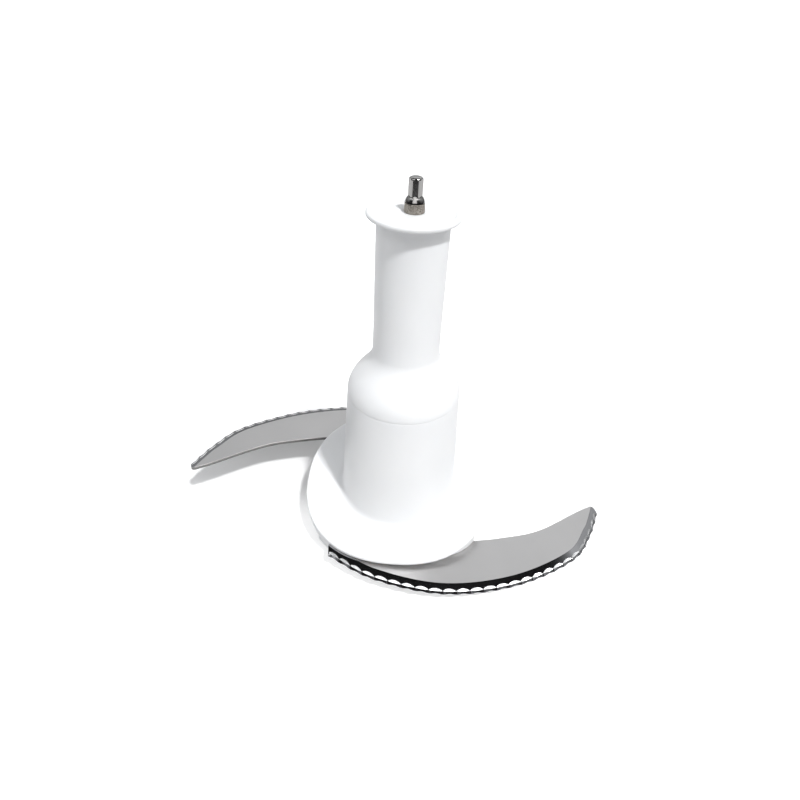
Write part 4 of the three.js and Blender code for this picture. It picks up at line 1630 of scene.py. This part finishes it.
@dataclass
class Studio:
    """A white table with painted light that only the camera sees, a sun-like key light, a soft sky, cards
    for the reflections, and the camera.
    """

    table_size: float = 60.0
    table_points: int = 33
    table_drop: float = 0.0003
    table_tone: float = 0.76
    table_bounce: float = 0.45
    table_glow: float = 0.07
    shadow_wash_glow: float = 0.5
    under_glow: float = 0.14
    front_edge: Pair = (0.012, -0.012)
    rear_edge: Pair = (0.04, 0.06)
    key_strength: float = 2.9
    key_spread: float = 5.0
    key_turn: float = 40.0
    key_height: float = 60.0
    sky_colour: Colour = (0.97, 0.985, 1.0)
    sky_left: float = 0.7
    sky_right: float = 0.55
    sky_back: float = 0.84
    back_slope: float = 0.4
    back_edge: Pair = (0.1, 0.45)
    sky_low: float = 0.06
    low_edge: Pair = (0.15, 0.6)
    rear_low: float = 0.3
    rear_low_edge: Pair = (0.1, 0.3)
    sky_front: float = 0.15
    front_side: Pair = (0.0, -0.4)
    front_top: Pair = (0.8, 0.55)
    flag: float = 0.62
    flag_edge: Pair = (0.34, 0.56)
    ceiling: float = 1.25
    ceiling_side: Pair = (0.02, -0.1)
    ceiling_edge: Pair = (0.55, 0.7)
    oval_reach: Pair = (0.62, 0.3)
    oval_middle: float = 0.12
    oval_tone: float = 0.015
    oval_edge: Pair = (0.9, 1.5)
    cards: tuple[Card, ...] = (
        Card("black_card", reach=0.3, half_angle=35.0, low=0.02, high=0.6, glow=0.0),
        Card("black_wings", reach=0.3005, half_angle=60.0, low=0.175, high=0.42, glow=0.0),
        Card("white_card", reach=0.295, half_angle=26.0, low=0.24, high=0.64, glow=1.6),
    )
    camera_place: tuple[float, float, float] = (2.72, -165.8, 179.3)
    camera_dip: float = 0.6492
    camera_pan: float = -0.0112
    camera_roll: float = 0.0634
    sensor_width: float = 36.0
    focal_share: float = 0.716
    frame_shift: float = 0.00625

    def table(self) -> None:
        """Flat sheet, with points spread evenly over a square. It can be seen through from below.

        The camera sees its glow, and light that bounces off it sees a darker tone and a fainter glow.
        """
        side = np.linspace(-self.table_size, self.table_size, self.table_points)
        x, y = np.meshgrid(side, side)
        shader = Shader("table_white", 0.7, 0.0)
        path = shader.add("LightPath").outputs
        shader.blend_colour(path["Is Diffuse Ray"], (self.table_tone,) * 3, (self.table_bounce,) * 3)
        shown = shader.times(path["Is Camera Ray"], self.glow(shader))
        spread = shader.times(path["Is Diffuse Ray"], self.under_glow)
        shader.feed(
            shader.bsdf, Specular_IOR_Level=0.1, Emission_Color=(1.0, 1.0, 1.0, 1.0),
            Emission_Strength=shader.plus(shown, spread),
        )
        choice = shader.add("MixShader", Fac=shader.add("NewGeometry").outputs["Backfacing"])
        shader.connect(shader.bsdf.outputs["BSDF"], choice.inputs[1])
        shader.connect(shader.add("BsdfTransparent").outputs["BSDF"], choice.inputs[2])
        shader.connect(choice.outputs["Shader"], shader.tree.nodes["Material Output"].inputs["Surface"])
        stage_sheet("table", np.stack([x, y, np.full(x.shape, -self.table_drop)], axis=-1), shader)

    def glow(self, shader: Shader) -> bpy.types.NodeSocket:
        """Painted light on the table, seen only by the camera: a faint even glow, raised in front of the
        knife and far behind it, which washes out the knife's cast shadows there.

        Args:
            shader: the table's material.

        Returns:
            The strength of the light.
        """
        across = shader.add("SeparateXYZ", Vector=shader.place()).outputs["Y"]
        # Painted light: the glow is raised where the knife's cast shadows fall, to wash them out.
        lit = shader.plus(shader.between(across, *self.front_edge), shader.between(across, *self.rear_edge))
        return shader.plus(shader.times(lit, self.shadow_wash_glow - self.table_glow), self.table_glow)

    def key(self) -> None:
        """Key light from the right, a little in front, high up."""
        light = bpy.data.lights.new("key", "SUN")
        light.energy = self.key_strength
        light.angle = math.radians(self.key_spread)
        turn, height = math.radians(self.key_turn), math.radians(self.key_height)
        side, front = math.sin(turn) * math.cos(height), -math.cos(turn) * math.cos(height)
        away = Vector((side, front, math.sin(height)))
        put_in_scene("key", light).rotation_euler = away.to_track_quat("Z", "Y").to_euler()

    def world(self) -> None:
        """Sky of the studio, as a strength for each direction (x, y, z).

        It grows brighter from left to right and from the horizon up, and is dim low down on the side
        that the camera stands on. A bright ceiling hangs over that side. Straight above lies a dark
        oval card, where (x / 0.62)^2 + ((y - 0.12) / 0.3)^2 is under 1, and a grey flag stands
        behind the knife on the right. The camera itself sees plain white.
        """
        world = bpy.data.worlds.new("studio")
        world.use_nodes = True
        sky = Sums(world.node_tree)
        x, y, z = sky.add("SeparateXYZ", Vector=sky.add("TexCoord").outputs["Generated"]).outputs
        slope, middle = 0.5 * (self.sky_right - self.sky_left), 0.5 * (self.sky_right + self.sky_left)
        sides = sky.plus(sky.times(x, slope), middle)
        rear = sky.plus(sky.times(x, self.back_slope), self.sky_back)
        back = sky.between(y, *self.back_edge)
        near_low = sky.mix(self.sky_low, 1.0, sky.between(z, *self.low_edge))
        rear_low = sky.mix(self.rear_low, 1.0, sky.between(z, *self.rear_low_edge))
        even = sky.times(sky.mix(sides, rear, back), sky.mix(near_low, rear_low, back))
        flagged = sky.times(sky.times(back, sky.between(x, *self.flag_edge)), self.flag)
        even = sky.times(even, sky.mix(1.0, 0.0, flagged))
        front = sky.times(sky.between(y, *self.front_side), sky.between(z, *self.front_top))
        dimmed = sky.times(even, sky.mix(1.0, self.sky_front, front))
        overhead = sky.times(sky.between(y, *self.ceiling_side), sky.between(z, *self.ceiling_edge))
        roof = sky.times(overhead, self.ceiling)
        across = sky.times(x, 1.0 / self.oval_reach[0])
        along = sky.times(sky.plus(y, -self.oval_middle), 1.0 / self.oval_reach[1])
        oval = sky.plus(sky.times(across, across), sky.times(along, along))
        open_sky = sky.mix(self.oval_tone, 1.0, sky.between(oval, *self.oval_edge))
        strength = sky.times(sky.plus(dimmed, roof), open_sky)
        seen = sky.add("LightPath").outputs["Is Camera Ray"]
        choice = sky.add("Mix", Factor=seen, A=strength, B=1.0).outputs["Result"]
        sky.feed(world.node_tree.nodes["Background"], Strength=choice, Color=(*self.sky_colour, 1.0))
        bpy.context.scene.world = world

    def camera(self) -> None:
        """Camera at the viewing angle: dipped, panned and rolled about its own place."""
        dip, pan, roll = self.camera_dip, self.camera_pan, self.camera_roll
        level = math.cos(dip)
        ahead = Vector((math.sin(pan) * level, math.cos(pan) * level, -math.sin(dip)))
        right = Vector((math.cos(pan), -math.sin(pan), 0.0))
        up = right.cross(ahead)
        rolled_right = math.cos(roll) * right + math.sin(roll) * up
        rolled_up = math.cos(roll) * up - math.sin(roll) * right
        data = bpy.data.cameras.new("camera")
        data.sensor_width = self.sensor_width
        data.lens = self.focal_share * data.sensor_width
        data.shift_x, data.shift_y = -self.frame_shift, self.frame_shift
        data.clip_start, data.clip_end = 0.01, 20.0
        turn = Matrix((rolled_right, rolled_up, -ahead)).transposed()
        camera = put_in_scene("camera", data)
        camera.matrix_world = Matrix.Translation(Vector(self.camera_place) * MM) @ turn.to_4x4()
        bpy.context.scene.camera = camera

    def build(self) -> None:
        """Sets up the table, the cards, the world, the key light and the camera."""
        self.table()
        for card in self.cards:
            card.build()
        self.world()
        self.key()
        self.camera()
        bpy.context.scene.view_settings.view_transform = "Standard"


def main() -> None:
    """Builds the knife and its studio."""
    logging.basicConfig(level=logging.INFO, format="%(name)s %(message)s")
    Studio().build()
    finishes = Finishes.build()
    hub = HubMouldings(finishes, RoundedSquare())
    hub.build()
    for side in (LOWER, UPPER):
        Blade(finishes, hub, side).build()
    DriveHead(finishes).build()
    PivotBearing(finishes).build()
    InnerParts(finishes).build()


if __name__ == "__main__":
    main()
